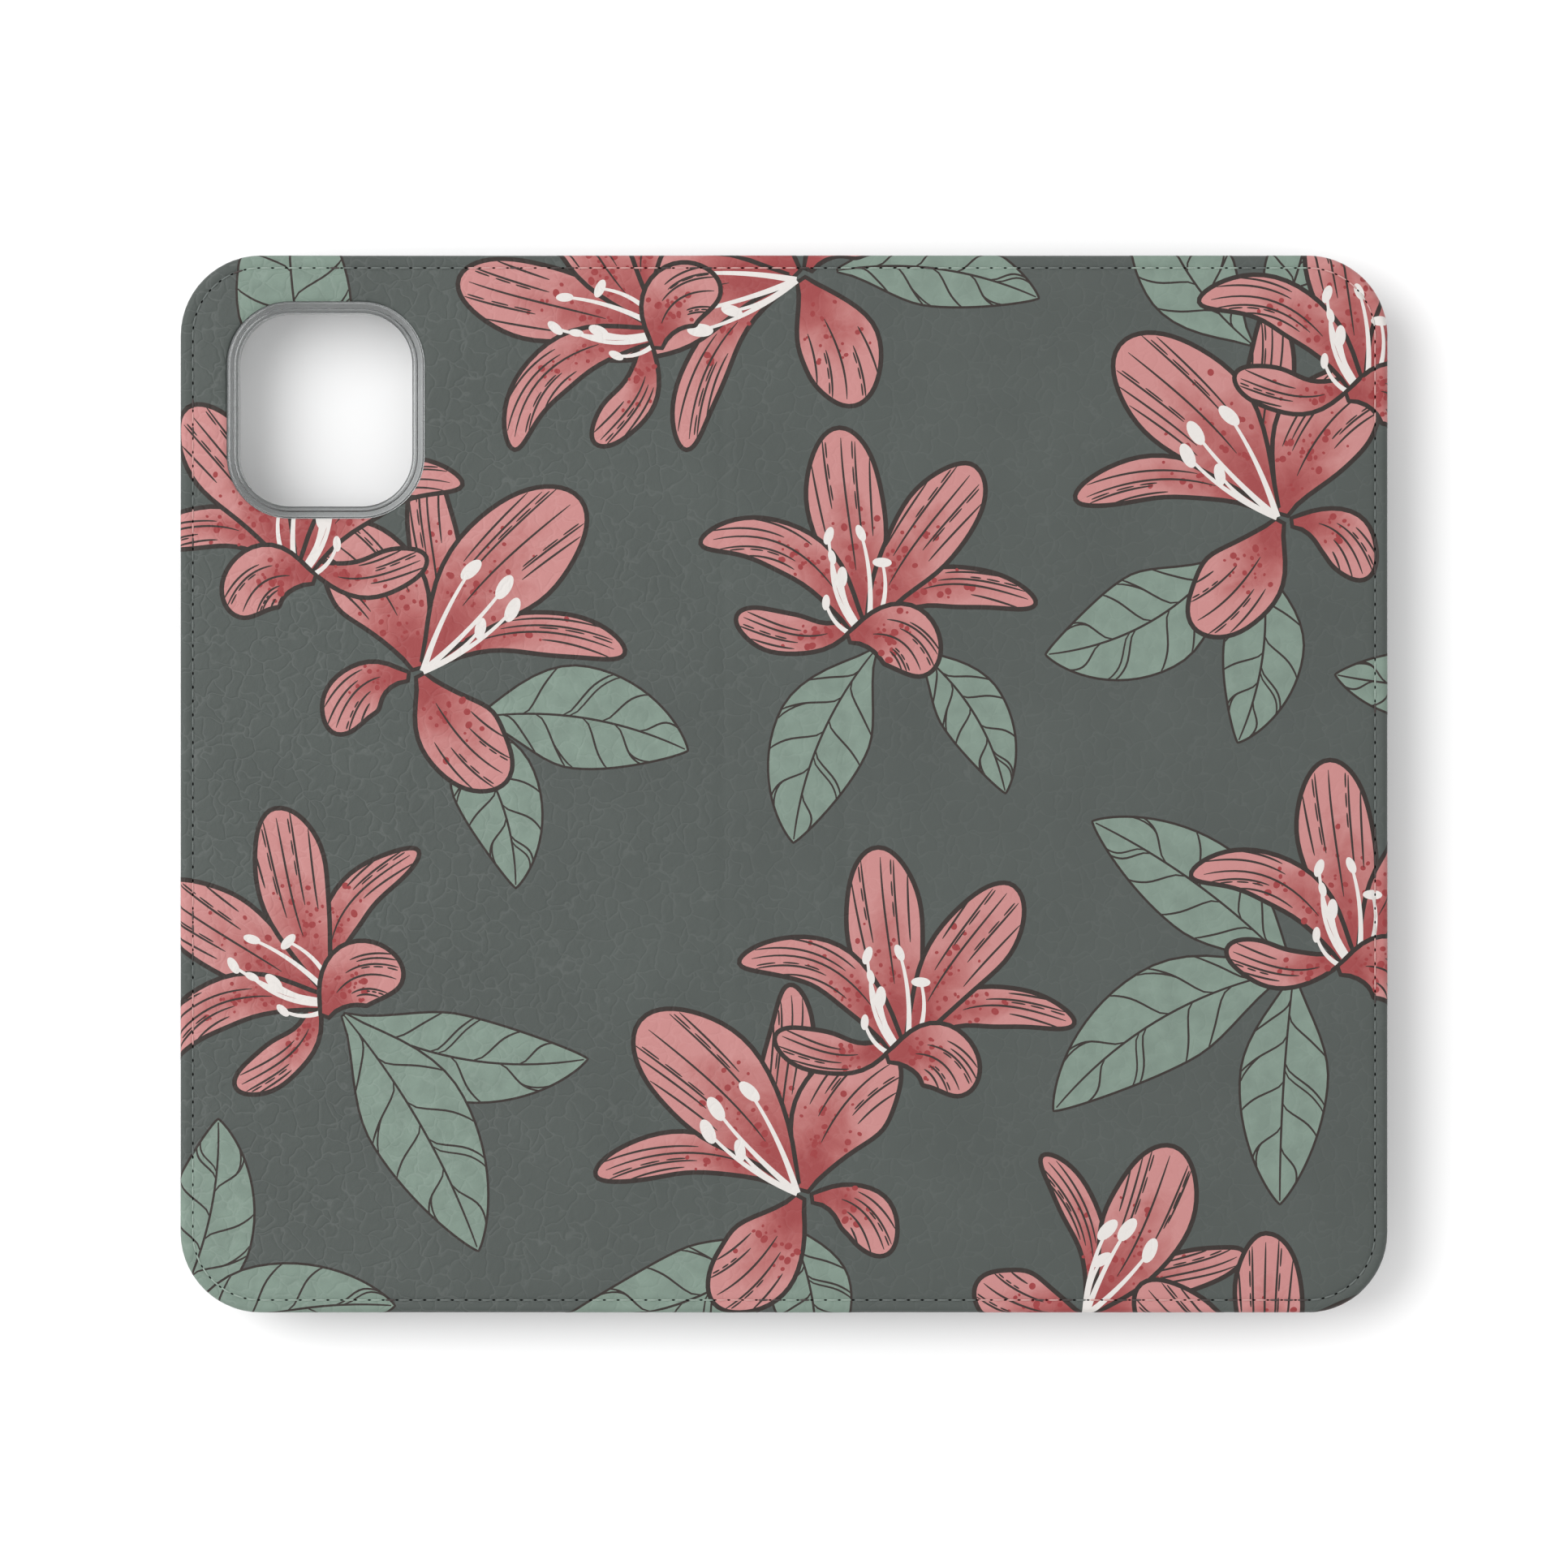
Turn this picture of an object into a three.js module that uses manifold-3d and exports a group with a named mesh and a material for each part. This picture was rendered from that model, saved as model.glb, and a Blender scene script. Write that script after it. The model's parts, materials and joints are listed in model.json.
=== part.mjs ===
// Folio phone case, opened flat with its outside facing up.
//
// Two padded leather panels are joined by a narrow spine. The left panel is the back cover and
// carries a clear tray for the phone on its underside. The right panel is the front flap and
// carries a cash pocket and three card pockets on its underside.
// Millimetres, +Z up. +X runs from the back cover to the flap and +Y towards the phone's top edge.
// The origin is at the middle of the base, on the plane that the tray's rim stands on.

import * as THREE from 'three';
import { mergeVertices } from 'three/addons/utils/BufferGeometryUtils.js';
import Module from 'manifold-3d';

const wasm = await Module();
wasm.setup();

// ---------------------------------------------------------------- driving dimensions

const PHONE = { width: 75.7, height: 150.9, depth: 8.3 };
const COVER = { width: 181, height: 158.5, cornerRadius: 12, edgeRadius: 0.9 };
const SPINE_WIDTH = 18.2;

const SKIN = 0.9; // leather-look outer skin
const PANEL_BOARD = 1.2; // stiff boards in the two panels
const SPINE_BOARD = 0.4; // thin strip in the spine
const PANEL_LINING = 0.5;
const SPINE_LINING = 0.4;
const BOND = 0.2; // adhesive sheet between tray and lining

const TRAY = { wall: 1.1, floor: 1.0, fit: 0.15, rimAbovePhone: 0.9, sideMargin: 1.6 };
const TRAY_CORNER = 11; // outer corner radius of the tray, in plan
const TRAY_EDGE_RADIUS = 1; // rounding between the tray's walls and its floor
const BOND_INSET = 3; // the adhesive stays this far inside the tray's outline

// The camera opening in the cover, and the tray's collar that lines it.
const CAMERA = { fromLeft: 21.8, fromTop: 23.2, width: 29.7, height: 32.6, radius: 9.5 };
const COLLAR = { gap: 0.2, wall: 1.65, proud: 0.5 };
const CAMERA_BOARD_GAP = 0.8; // the board and the adhesive stay this far outside the opening

const WALL_INSET = 1.7; // from the cover's edge to the board
const LINING_INSET = 1.2; // from the cover's edge to the lining
const FOLD_CLEAR_PANEL = 2.4; // boards and linings stop this far from a fold line
const FOLD_CLEAR_SPINE = 1.6;
const FOLD_GAP = 0.12; // half the gap between two skins on a fold line

const SEAM = { inset: 1.9, groove: 0.9, thread: 0.5, depth: 0.45, height: 0.4, foldGap: 0.9 };

const POCKET = { thickness: 0.4, spineInset: 2.4, edgeInset: 3.6, endInset: 4.2, radius: 4 };
const CARD = { width: 64, bottomInset: 5, firstMouth: 104, step: 15, radius: 3 };
const CARD_POCKETS = ['upper', 'middle', 'lower'];
const POCKET_SEAM = { inset: 1.4, width: 0.5, height: 0.2, belowCashMouth: 6, belowCardMouth: 2 };

const MAGNET = { width: 8, length: 14, thickness: 1.0, fromEdge: 4.5, fromMiddle: 28 };

// Windows through the tray's walls, measured from the tray's centre along each wall.
const WINDOW_BOTTOM = 2.1;
const WINDOW_TOP = 7.1;
const POWER_WINDOW = { middle: 30, length: 16 };
const VOLUME_WINDOW = { middle: 32, length: 42 };
const PORT_WINDOW = { middle: 0, length: 52 };

const ARC_STEPS = 14;
const EDGE_STEPS = 4;
const SAME_POINT = 1e-5; // points closer than this are joined
const FAR = 400; // longer than the whole case, for cutting
const OVERCUT = 5; // a cutting shape reaches this far past the face it cuts

// ---------------------------------------------------------------- derived levels and places

const seatZ = PHONE.depth + TRAY.rimAbovePhone;
const trayTopZ = seatZ + TRAY.floor;
const liningZ = trayTopZ + BOND;
const boardZ = liningZ + PANEL_LINING;
const skinZ = boardZ + PANEL_BOARD;
const topZ = skinZ + SKIN;
const foldZ = topZ - SKIN / 2;

const halfWidth = COVER.width / 2;
const halfHeight = COVER.height / 2;
const foldX = SPINE_WIDTH / 2;

const trayWidth = PHONE.width + 2 * (TRAY.fit + TRAY.wall);
const trayHeight = PHONE.height + 2 * (TRAY.fit + TRAY.wall);
const trayX = -halfWidth + TRAY.sideMargin + trayWidth / 2;
const cameraX = -halfWidth + CAMERA.fromLeft;
const cameraY = halfHeight - CAMERA.fromTop;

// ---------------------------------------------------------------- materials

function finish(color, roughness, metalness = 0) {
  return new THREE.MeshStandardMaterial({ color, roughness, metalness });
}

const leather = finish(0x5a605d, 0.55);
const board = finish(0xb9b2a4, 0.9);
const lining = finish(0x4c504e, 0.85);
const thread = finish(0x6c736f, 0.7);
const adhesive = finish(0xd9d9d2, 0.6);
const steel = finish(0x9a9da0, 0.35, 1);
const clearPlastic = finish(0xe9edee, 0.15);
clearPlastic.transparent = true;
clearPlastic.opacity = 0.35;

// ---------------------------------------------------------------- helpers

function roundedRectangle(width, height, radius, x = 0, y = 0) {
  const left = x - width / 2;
  const right = x + width / 2;
  const bottom = y - height / 2;
  const top = y + height / 2;
  const shape = new THREE.Shape();
  shape.moveTo(left + radius, bottom);
  shape.lineTo(right - radius, bottom);
  shape.absarc(right - radius, bottom + radius, radius, -Math.PI / 2, 0, false);
  shape.lineTo(right, top - radius);
  shape.absarc(right - radius, top - radius, radius, 0, Math.PI / 2, false);
  shape.lineTo(left + radius, top);
  shape.absarc(left + radius, top - radius, radius, Math.PI / 2, Math.PI, false);
  shape.lineTo(left, bottom + radius);
  shape.absarc(left + radius, bottom + radius, radius, Math.PI, 1.5 * Math.PI, false);
  return shape;
}

// The cover's outline, moved inwards by a distance.
function coverOutline(inset) {
  const radius = COVER.cornerRadius - inset;
  return roundedRectangle(COVER.width - 2 * inset, COVER.height - 2 * inset, radius);
}

function cameraOutline(outset) {
  const radius = CAMERA.radius + outset;
  const width = CAMERA.width + 2 * outset;
  return roundedRectangle(width, CAMERA.height + 2 * outset, radius, cameraX, cameraY);
}

function toManifold(geometry) {
  geometry.deleteAttribute('normal');
  geometry.deleteAttribute('uv');
  const merged = mergeVertices(geometry, SAME_POINT);
  const vertProperties = new Float32Array(merged.attributes.position.array);
  const triVerts = new Uint32Array(merged.index.array);
  return new wasm.Manifold(new wasm.Mesh({ numProp: 3, vertProperties, triVerts }));
}

function plate(shape, bottomZ, topZOfPlate) {
  const depth = topZOfPlate - bottomZ;
  const geometry = new THREE.ExtrudeGeometry(shape, {
    depth,
    bevelEnabled: false,
    curveSegments: ARC_STEPS,
  });
  geometry.translate(0, 0, bottomZ);
  return toManifold(geometry);
}

// A plate whose top and bottom edges are rounded.
function roundedPlate(shape, bottomZ, topZOfPlate, radius) {
  const depth = topZOfPlate - bottomZ - 2 * radius;
  const geometry = new THREE.ExtrudeGeometry(shape, {
    depth,
    bevelEnabled: true,
    bevelThickness: radius,
    bevelSize: radius,
    bevelOffset: -radius,
    bevelSegments: EDGE_STEPS,
    curveSegments: ARC_STEPS,
  });
  geometry.translate(0, 0, bottomZ + radius);
  return toManifold(geometry);
}

function block(x0, x1, y0, y1, z0, z1) {
  const geometry = new THREE.BoxGeometry(x1 - x0, y1 - y0, z1 - z0);
  geometry.translate((x0 + x1) / 2, (y0 + y1) / 2, (z0 + z1) / 2);
  return toManifold(geometry);
}

// A band that follows the cover's outline, centred on a given inset.
function outlineBand(inset, width, bottomZ, topZOfBand) {
  const outer = plate(coverOutline(inset - width / 2), bottomZ, topZOfBand);
  const innerShape = coverOutline(inset + width / 2);
  const inner = plate(innerShape, bottomZ - OVERCUT, topZOfBand + OVERCUT);
  return outer.subtract(inner);
}

// A prism along Y from a closed outline given as [x, z] points.
function prismAlongY(points) {
  const shape = new THREE.Shape(points.map(([x, z]) => new THREE.Vector2(x, z)));
  const geometry = new THREE.ExtrudeGeometry(shape, { depth: FAR, bevelEnabled: false });
  geometry.rotateX(Math.PI / 2);
  geometry.translate(0, FAR / 2, 0);
  return toManifold(geometry);
}

// The space of one panel, whose edge on a fold line comes to a point at the fold's axis, so that
// the neighbouring skins can swing a quarter turn either way without meeting.
function foldEdge(x, side) {
  const tip = x + side * FOLD_GAP;
  const half = SKIN / 2;
  const far = tip + side * half;
  return [
    [far, foldZ + half],
    [tip, foldZ],
    [far, foldZ - half],
  ];
}

function panelSpace(side) {
  const inner = foldEdge(side * foldX, side);
  const outer = side * FAR;
  const low = liningZ - OVERCUT;
  const high = topZ + OVERCUT;
  const reach = inner[0][0] + side * (high - topZ);
  const points = [
    [reach, high],
    ...inner,
    [side * (foldX + FOLD_CLEAR_PANEL), foldZ - SKIN / 2],
    [side * (foldX + FOLD_CLEAR_PANEL), low],
    [outer, low],
    [outer, high],
  ];
  return prismAlongY(side > 0 ? points.reverse() : points);
}

function spineSpace() {
  const left = foldEdge(-foldX, 1);
  const right = foldEdge(foldX, -1);
  return prismAlongY([...left, ...right.reverse()]);
}

function meshOf(name, manifold, material) {
  const { numProp, vertProperties, triVerts } = manifold.getMesh();
  const geometry = new THREE.BufferGeometry();
  const positions = new Float32Array((vertProperties.length / numProp) * 3);
  for (let i = 0; i < positions.length / 3; i += 1) {
    positions.set(vertProperties.subarray(i * numProp, i * numProp + 3), i * 3);
  }
  geometry.setAttribute('position', new THREE.BufferAttribute(positions, 3));
  geometry.setIndex(new THREE.BufferAttribute(new Uint32Array(triVerts), 1));
  geometry.computeVertexNormals();
  const mesh = new THREE.Mesh(geometry, material);
  mesh.name = name;
  return mesh;
}

// ---------------------------------------------------------------- skins

// The whole cover before it is divided: a plate with rounded edges and a sewing groove.
function wholeCover() {
  const slab = roundedPlate(coverOutline(0), boardZ, topZ, COVER.edgeRadius);
  const groove = outlineBand(SEAM.inset, SEAM.groove, topZ - SEAM.depth, topZ + OVERCUT);
  return slab.subtract(groove);
}

function boardShape(side) {
  const whole = plate(coverOutline(WALL_INSET), boardZ, skinZ);
  const edge = foldX + FOLD_CLEAR_PANEL;
  const x0 = side > 0 ? edge : -FAR;
  const x1 = side > 0 ? FAR : -edge;
  return whole.intersect(block(x0, x1, -FAR, FAR, boardZ - OVERCUT, topZ));
}

function panelSkin(cover, side) {
  return cover.intersect(panelSpace(side)).subtract(boardShape(side));
}

function cameraCut(outset) {
  return plate(cameraOutline(outset), liningZ - OVERCUT, topZ + OVERCUT);
}

// ---------------------------------------------------------------- boards, linings, magnets

function magnetPlate(side, upDown) {
  const middle = side * (halfWidth - MAGNET.fromEdge - MAGNET.width / 2);
  const y = upDown * MAGNET.fromMiddle;
  const halfW = MAGNET.width / 2;
  const halfL = MAGNET.length / 2;
  const top = skinZ;
  return block(middle - halfW, middle + halfW, y - halfL, y + halfL, top - MAGNET.thickness, top);
}

function panelBoard(side) {
  return boardShape(side).subtract(magnetPlate(side, 1)).subtract(magnetPlate(side, -1));
}

function panelLining(side) {
  const whole = plate(coverOutline(LINING_INSET), liningZ, boardZ);
  return whole.intersect(panelSpace(side));
}

function spineStrip(inset, bottomZ, topZOfStrip) {
  const half = foldX - FOLD_CLEAR_SPINE;
  const end = halfHeight - inset;
  return block(-half, half, -end, end, bottomZ, topZOfStrip);
}

// ---------------------------------------------------------------- tray

function trayOutline(inset) {
  const width = trayWidth - 2 * inset;
  const height = trayHeight - 2 * inset;
  return roundedRectangle(width, height, TRAY_CORNER - inset, trayX, 0);
}

function sideWindow(side, window) {
  const x = trayX + side * (trayWidth / 2);
  const y0 = window.middle - window.length / 2;
  const reach = 2 * TRAY.wall;
  return block(x - reach, x + reach, y0, y0 + window.length, WINDOW_BOTTOM, WINDOW_TOP);
}

function phoneTray() {
  const outside = roundedPlate(trayOutline(0), -OVERCUT, trayTopZ, TRAY_EDGE_RADIUS);
  const aboveBase = block(-FAR, FAR, -FAR, FAR, 0, topZ);
  const cavity = plate(trayOutline(TRAY.wall), -OVERCUT, seatZ);
  const collarOutside = plate(cameraOutline(-COLLAR.gap), seatZ, topZ + COLLAR.proud);
  const opening = cameraOutline(-COLLAR.gap - COLLAR.wall);
  const collarInside = plate(opening, seatZ - OVERCUT, topZ + OVERCUT);
  const portLeft = trayX + PORT_WINDOW.middle - PORT_WINDOW.length / 2;
  const portY = -trayHeight / 2;
  const reach = 2 * TRAY.wall;
  const port = block(
    portLeft,
    portLeft + PORT_WINDOW.length,
    portY - reach,
    portY + reach,
    WINDOW_BOTTOM,
    WINDOW_TOP,
  );
  return outside
    .intersect(aboveBase)
    .subtract(cavity)
    .add(collarOutside)
    .subtract(collarInside)
    .subtract(sideWindow(-1, POWER_WINDOW))
    .subtract(sideWindow(1, VOLUME_WINDOW))
    .subtract(port);
}

function trayBond() {
  const sheet = plate(trayOutline(BOND_INSET), trayTopZ, liningZ);
  return sheet.subtract(cameraCut(CAMERA_BOARD_GAP));
}

// ---------------------------------------------------------------- pockets

const pocketLeft = foldX + FOLD_CLEAR_PANEL + POCKET.spineInset;
const pocketRight = halfWidth - POCKET.edgeInset;
const pocketWidth = pocketRight - pocketLeft;
const pocketX = (pocketLeft + pocketRight) / 2;
const pocketHeight = COVER.height - 2 * POCKET.endInset;
const pocketBottom = -pocketHeight / 2;

function cashPocket() {
  const shape = roundedRectangle(pocketWidth, pocketHeight, POCKET.radius, pocketX, 0);
  return plate(shape, liningZ - POCKET.thickness, liningZ);
}

// Card pockets lie one under the other, and each mouth is a step lower than the one above it.
function cardPocketOutline(index, inset) {
  const bottom = pocketBottom + CARD.bottomInset + inset;
  const mouth = pocketBottom + CARD.firstMouth - index * CARD.step;
  const width = CARD.width - 2 * inset;
  const y = (bottom + mouth) / 2;
  return roundedRectangle(width, mouth - bottom, CARD.radius - inset / 2, pocketX, y);
}

function cardPocket(index) {
  const top = liningZ - POCKET.thickness * (index + 1);
  return plate(cardPocketOutline(index, 0), top - POCKET.thickness, top);
}

// Sewing along the two sides and the bottom of a pocket; its mouth stays open.
function pocketSeam(outlineAt, mouthY, bottomZ) {
  const low = bottomZ - OVERCUT;
  const high = bottomZ + OVERCUT;
  const outer = plate(outlineAt(POCKET_SEAM.inset), bottomZ - POCKET_SEAM.height, bottomZ);
  const inner = plate(outlineAt(POCKET_SEAM.inset + POCKET_SEAM.width), low, high);
  const below = block(-FAR, FAR, -FAR, mouthY, low, high);
  return outer.subtract(inner).intersect(below);
}

function cashSeam() {
  const outlineAt = (inset) => {
    const width = pocketWidth - 2 * inset;
    const height = pocketHeight - 2 * inset;
    return roundedRectangle(width, height, POCKET.radius - inset, pocketX, 0);
  };
  const seamTop = -pocketBottom - POCKET_SEAM.belowCashMouth;
  return pocketSeam(outlineAt, seamTop, liningZ - POCKET.thickness);
}

// One row sews all three card pockets, and its thread lies on the lowest of them.
function cardSeam() {
  const last = CARD_POCKETS.length - 1;
  const mouth = pocketBottom + CARD.firstMouth - last * CARD.step;
  const outlineAt = (inset) => cardPocketOutline(last, inset);
  const bottomZ = liningZ - POCKET.thickness * (last + 2);
  return pocketSeam(outlineAt, mouth - POCKET_SEAM.belowCardMouth, bottomZ);
}

// ---------------------------------------------------------------- sewing round the cover

function coverThread(side) {
  const bottom = topZ - SEAM.depth;
  const ring = outlineBand(SEAM.inset, SEAM.thread, bottom, bottom + SEAM.height);
  const edge = foldX + SEAM.foldGap;
  const x0 = side > 0 ? edge : -FAR;
  const x1 = side > 0 ? FAR : -edge;
  return ring.intersect(block(x0, x1, -FAR, FAR, 0, 2 * topZ));
}

function spineThread(end) {
  const bottom = topZ - SEAM.depth;
  const half = foldX - SEAM.foldGap;
  const y = end * (halfHeight - SEAM.inset);
  const w = SEAM.thread / 2;
  return block(-half, half, y - w, y + w, bottom, bottom + SEAM.height);
}

// ---------------------------------------------------------------- the case

const cover = wholeCover();
const group = new THREE.Group();

function put(name, manifold, material) {
  group.add(meshOf(name, manifold, material));
}

put('back_skin', panelSkin(cover, -1).subtract(cameraCut(0)), leather.clone());
put('back_board', panelBoard(-1).subtract(cameraCut(CAMERA_BOARD_GAP)), board.clone());
put('back_keeper_upper', magnetPlate(-1, 1), steel.clone());
put('back_keeper_lower', magnetPlate(-1, -1), steel.clone());
put('back_lining', panelLining(-1).subtract(cameraCut(0)), lining.clone());
put('tray_bond', trayBond(), adhesive.clone());
put('phone_tray', phoneTray(), clearPlastic.clone());
put('back_thread', coverThread(-1), thread.clone());

put('spine_skin', cover.intersect(spineSpace()), leather.clone());
put('spine_board', spineStrip(WALL_INSET, skinZ - SPINE_BOARD, skinZ), board.clone());
const spineLiningTop = skinZ - SPINE_BOARD;
const spineLining = spineStrip(LINING_INSET, spineLiningTop - SPINE_LINING, spineLiningTop);
put('spine_lining', spineLining, lining.clone());
put('spine_thread_top', spineThread(1), thread.clone());
put('spine_thread_bottom', spineThread(-1), thread.clone());

put('front_skin', panelSkin(cover, 1), leather.clone());
put('front_board', panelBoard(1), board.clone());
put('flap_magnet_upper', magnetPlate(1, 1), steel.clone());
put('flap_magnet_lower', magnetPlate(1, -1), steel.clone());
put('front_lining', panelLining(1), lining.clone());
put('cash_pocket', cashPocket(), lining.clone());
CARD_POCKETS.forEach((word, index) => {
  put(`card_pocket_${word}`, cardPocket(index), leather.clone());
});
put('cash_thread', cashSeam(), thread.clone());
put('card_thread', cardSeam(), thread.clone());
put('front_thread', coverThread(1), thread.clone());

export default group;
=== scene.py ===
"""Looks for the folio phone case: printed leather cover, sewing, clear tray, lining and pockets.

The cover is drawn flat first. The print's outlines, the cover's outline and the lines where the
surface bends are cut into one flat triangulation, and a formula then wraps it over the padded panel
and its rounded edge. Every ink is a thin film made from its own triangles, just above the skin, so
the print has true edges. Sizes here are in millimetres until a mesh is made, in the CAD's frame.
"""

import json
import math
import random
import bmesh
import bpy
import numpy as np
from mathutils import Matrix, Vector
from mathutils.geometry import delaunay_2d_cdt


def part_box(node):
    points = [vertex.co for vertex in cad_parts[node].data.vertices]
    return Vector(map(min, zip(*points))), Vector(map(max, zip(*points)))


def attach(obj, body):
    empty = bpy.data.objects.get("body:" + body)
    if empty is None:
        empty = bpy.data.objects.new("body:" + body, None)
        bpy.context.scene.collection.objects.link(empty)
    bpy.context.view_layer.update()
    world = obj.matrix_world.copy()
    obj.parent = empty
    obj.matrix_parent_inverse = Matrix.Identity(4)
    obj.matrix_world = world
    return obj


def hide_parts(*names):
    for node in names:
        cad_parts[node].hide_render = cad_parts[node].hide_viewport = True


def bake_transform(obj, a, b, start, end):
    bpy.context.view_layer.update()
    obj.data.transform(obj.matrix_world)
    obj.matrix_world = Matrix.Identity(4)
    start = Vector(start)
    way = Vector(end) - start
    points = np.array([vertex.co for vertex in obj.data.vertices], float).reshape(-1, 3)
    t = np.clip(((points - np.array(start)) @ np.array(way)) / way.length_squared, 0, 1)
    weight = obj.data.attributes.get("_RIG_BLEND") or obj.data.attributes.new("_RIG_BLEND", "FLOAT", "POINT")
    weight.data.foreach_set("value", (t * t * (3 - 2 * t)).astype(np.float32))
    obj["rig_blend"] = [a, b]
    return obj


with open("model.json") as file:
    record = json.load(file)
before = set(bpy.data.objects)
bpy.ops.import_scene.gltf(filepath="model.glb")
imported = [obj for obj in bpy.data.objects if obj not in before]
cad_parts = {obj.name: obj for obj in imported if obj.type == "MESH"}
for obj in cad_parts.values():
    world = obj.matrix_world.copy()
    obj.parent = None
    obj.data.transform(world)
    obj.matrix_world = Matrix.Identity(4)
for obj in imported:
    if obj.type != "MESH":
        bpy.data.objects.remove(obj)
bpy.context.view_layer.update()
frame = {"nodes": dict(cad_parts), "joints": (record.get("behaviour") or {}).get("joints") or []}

MM = 0.001
TINY = 1e-9

# ---- places taken from the frame


def box_mm(node_name):
    """Lowest and highest corner of a CAD node, in millimetres."""
    low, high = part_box(node_name)
    return np.array(low) / MM, np.array(high) / MM


SKIN_LOW, SKIN_HIGH = box_mm("back_skin")
LINING_LOW, _ = box_mm("back_lining")
TRAY_LOW, TRAY_HIGH = box_mm("phone_tray")
HALF = -SKIN_LOW[:2]  # half the open cover's width and height
TOP = SKIN_HIGH[2]
PANEL_THICKNESS = TOP - SKIN_LOW[2]
FOLD_X = abs(frame["joints"][0]["pos_m"][0]) / MM

# ---- sizes of the looks

CORNER = 12.0  # radius of the cover's corners
ROLL = 0.8  # radius of the padded edge
TURN_IN = 1.2  # how far the skin runs in under the edge
PATTERN_REACH = math.pi * ROLL + TURN_IN - ROLL  # how far the flat pattern passes the outline
CUT_EDGE = 0.9  # depth of the skin's cut edge in the camera opening
SPINE_THICKNESS = 1.7
FOLD_THICKNESS = 1.3
BEND = 3.0  # half the width of a fold, as it bends
BEND_STEP = 0.5
FILM = 0.022  # thickness of the printed ink
CAMERA_MIDDLE = np.array([-68.7, 56.05])
CAMERA_HALF = np.array([14.85, 16.3])
CAMERA_CORNER = 9.5
CAMERA_STEP = 1.5

# Dips in the outer face: depth, and how far each one reaches
SEAM_CHANNEL = (0.13, 0.34)
SEAM_PULL = (0.08, 1.4)
EDGE_SLOPE = (0.05, 5.0)
FOLD_CREASE = (0.07, 0.9)
OPENING_EDGE = (0.22, 0.35)

# Distances inside the outline at which the skin's mesh gets a contour line
CONTOURS = (-2.2, -1.8, -1.5, -1.2, -0.9, -0.6, -0.3, 0.0, 0.2, 0.4, 0.6, 0.8, 1.0,
            1.2, 1.45, 1.6, 1.75, 1.9, 2.05, 2.2, 2.35, 2.6, 3.0, 3.6, 4.6)
CAMERA_CONTOURS = (0.25, 0.6, 1.2)
MESH_SPACING = 2.0

SEAM_INSET = 1.9
STITCH_PITCH = 2.07
STITCH_SIDES = 6
STITCH_RINGS = 7
STITCH_RADIUS = 0.13
STITCH_RISE = (-0.10, 0.02, 0.07, 0.09, 0.07, 0.02, -0.10)  # height of each ring of a stitch
NEEDLE_HOLE = (0.25, 0.12)  # half sizes along and across the seam
POCKET_PITCH = 2.6
POCKET_STITCH_RADIUS = 0.17
POCKET_STITCH_RISE = (0.14, 0.0, -0.06, -0.09, -0.06, 0.0, 0.14)

TRAY_CORNER = 11.0
TRAY_WALL = 1.1
TRAY_FLOOR_LOW = 9.2
TRAY_FLOOR_TOP = 10.2
TRAY_EDGE = 1.0  # outer radius between wall and floor
TRAY_FILLET = 0.6  # inner radius between wall and floor
TRAY_LEVELS = (2.0, 4.5, 7.0)
COLLAR_GAP = 0.2  # between the collar and the cut edge of the skin
COLLAR_WALL = 1.65
COLLAR_FOOT = 0.35
COLLAR_EDGE = 0.3
COLLAR_LIP = 0.42
WINDOW_LOW = 2.1
WINDOW_HIGH = 7.1
WINDOW_CORNER = 2.2
WINDOW_REACH = 1.7  # how far a window's cutter stands out past each face of the wall
WINDOWS = (  # axis across the wall, side of the tray, and the window's two ends along the wall
    (0, -1, 22.0, 38.0),
    (0, 1, 11.0, 53.0),
    (1, -1, -75.8, -23.8),
)

LINING = 0.38  # thickness of the lining
LINING_CLEAR = 0.95  # how far the lining stays under the cover's top
POCKET_CORNER = 2.5
MOUTH_CORNER = 0.8
THUMB_NOTCH = 5.0
HEM = 2.2  # from a pocket's mouth to the stitches of its hem
POCKET_SKIN = 0.02  # gap left between one pocket sheet and the next

# Strokes of the print
LINE = 0.7  # round a petal
LEAF_LINE = 0.35
VEIN = 0.33
FRECKLES = (0.2, 0.24, 0.3, 0.38, 0.5)  # radii
PRINT_SEED = 7

# Leather grain
GRAIN_CELL = 3.0  # how far apart the pebbles are
GRAIN_WARP = 3.4  # how far noise pushes them about
GRAIN_DEPTH = 0.075
GRAIN_FADE = (-85.0, 25.0, 1.0, 0.35)  # from one x to another, the grain and the painted crease highlight fade between two strengths
CREASE_HIGHLIGHT_PAINT = 0.02  # painted highlight: how much lighter a crease is drawn, as linear light
MOTTLE = 0.035  # how much lighter and darker the leather's patches are

# sRGB colours of the inks and materials
LEATHER_RGB = (88, 94, 91)
CORAL_LIGHT_RGB = (210, 145, 143)
CORAL_MID_RGB = (201, 131, 129)
CORAL_WARM_RGB = (186, 104, 103)
CORAL_DEEP_RGB = (168, 78, 79)
SAGE_RGB = (134, 153, 141)
LINE_RGB = (61, 53, 50)
FRECKLE_RGB = (166, 68, 70)
WHITE_RGB = (240, 235, 231)
THREAD_RGB = {
    "grey": (112, 119, 116),
    "coral": (222, 166, 162),
    "sage": (160, 178, 166),
    "dark": (72, 60, 58),
    "pale": (226, 220, 214),
}
CORAL_STOPS = ((0.44, CORAL_DEEP_RGB), (0.66, CORAL_WARM_RGB), (0.86, CORAL_MID_RGB),
               (1.0, CORAL_LIGHT_RGB))
THREAD_OF_INK = {"leather": "grey", "coral": "coral", "freckle": "coral", "sage": "sage",
                 "line": "dark", "white": "pale"}
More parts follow.
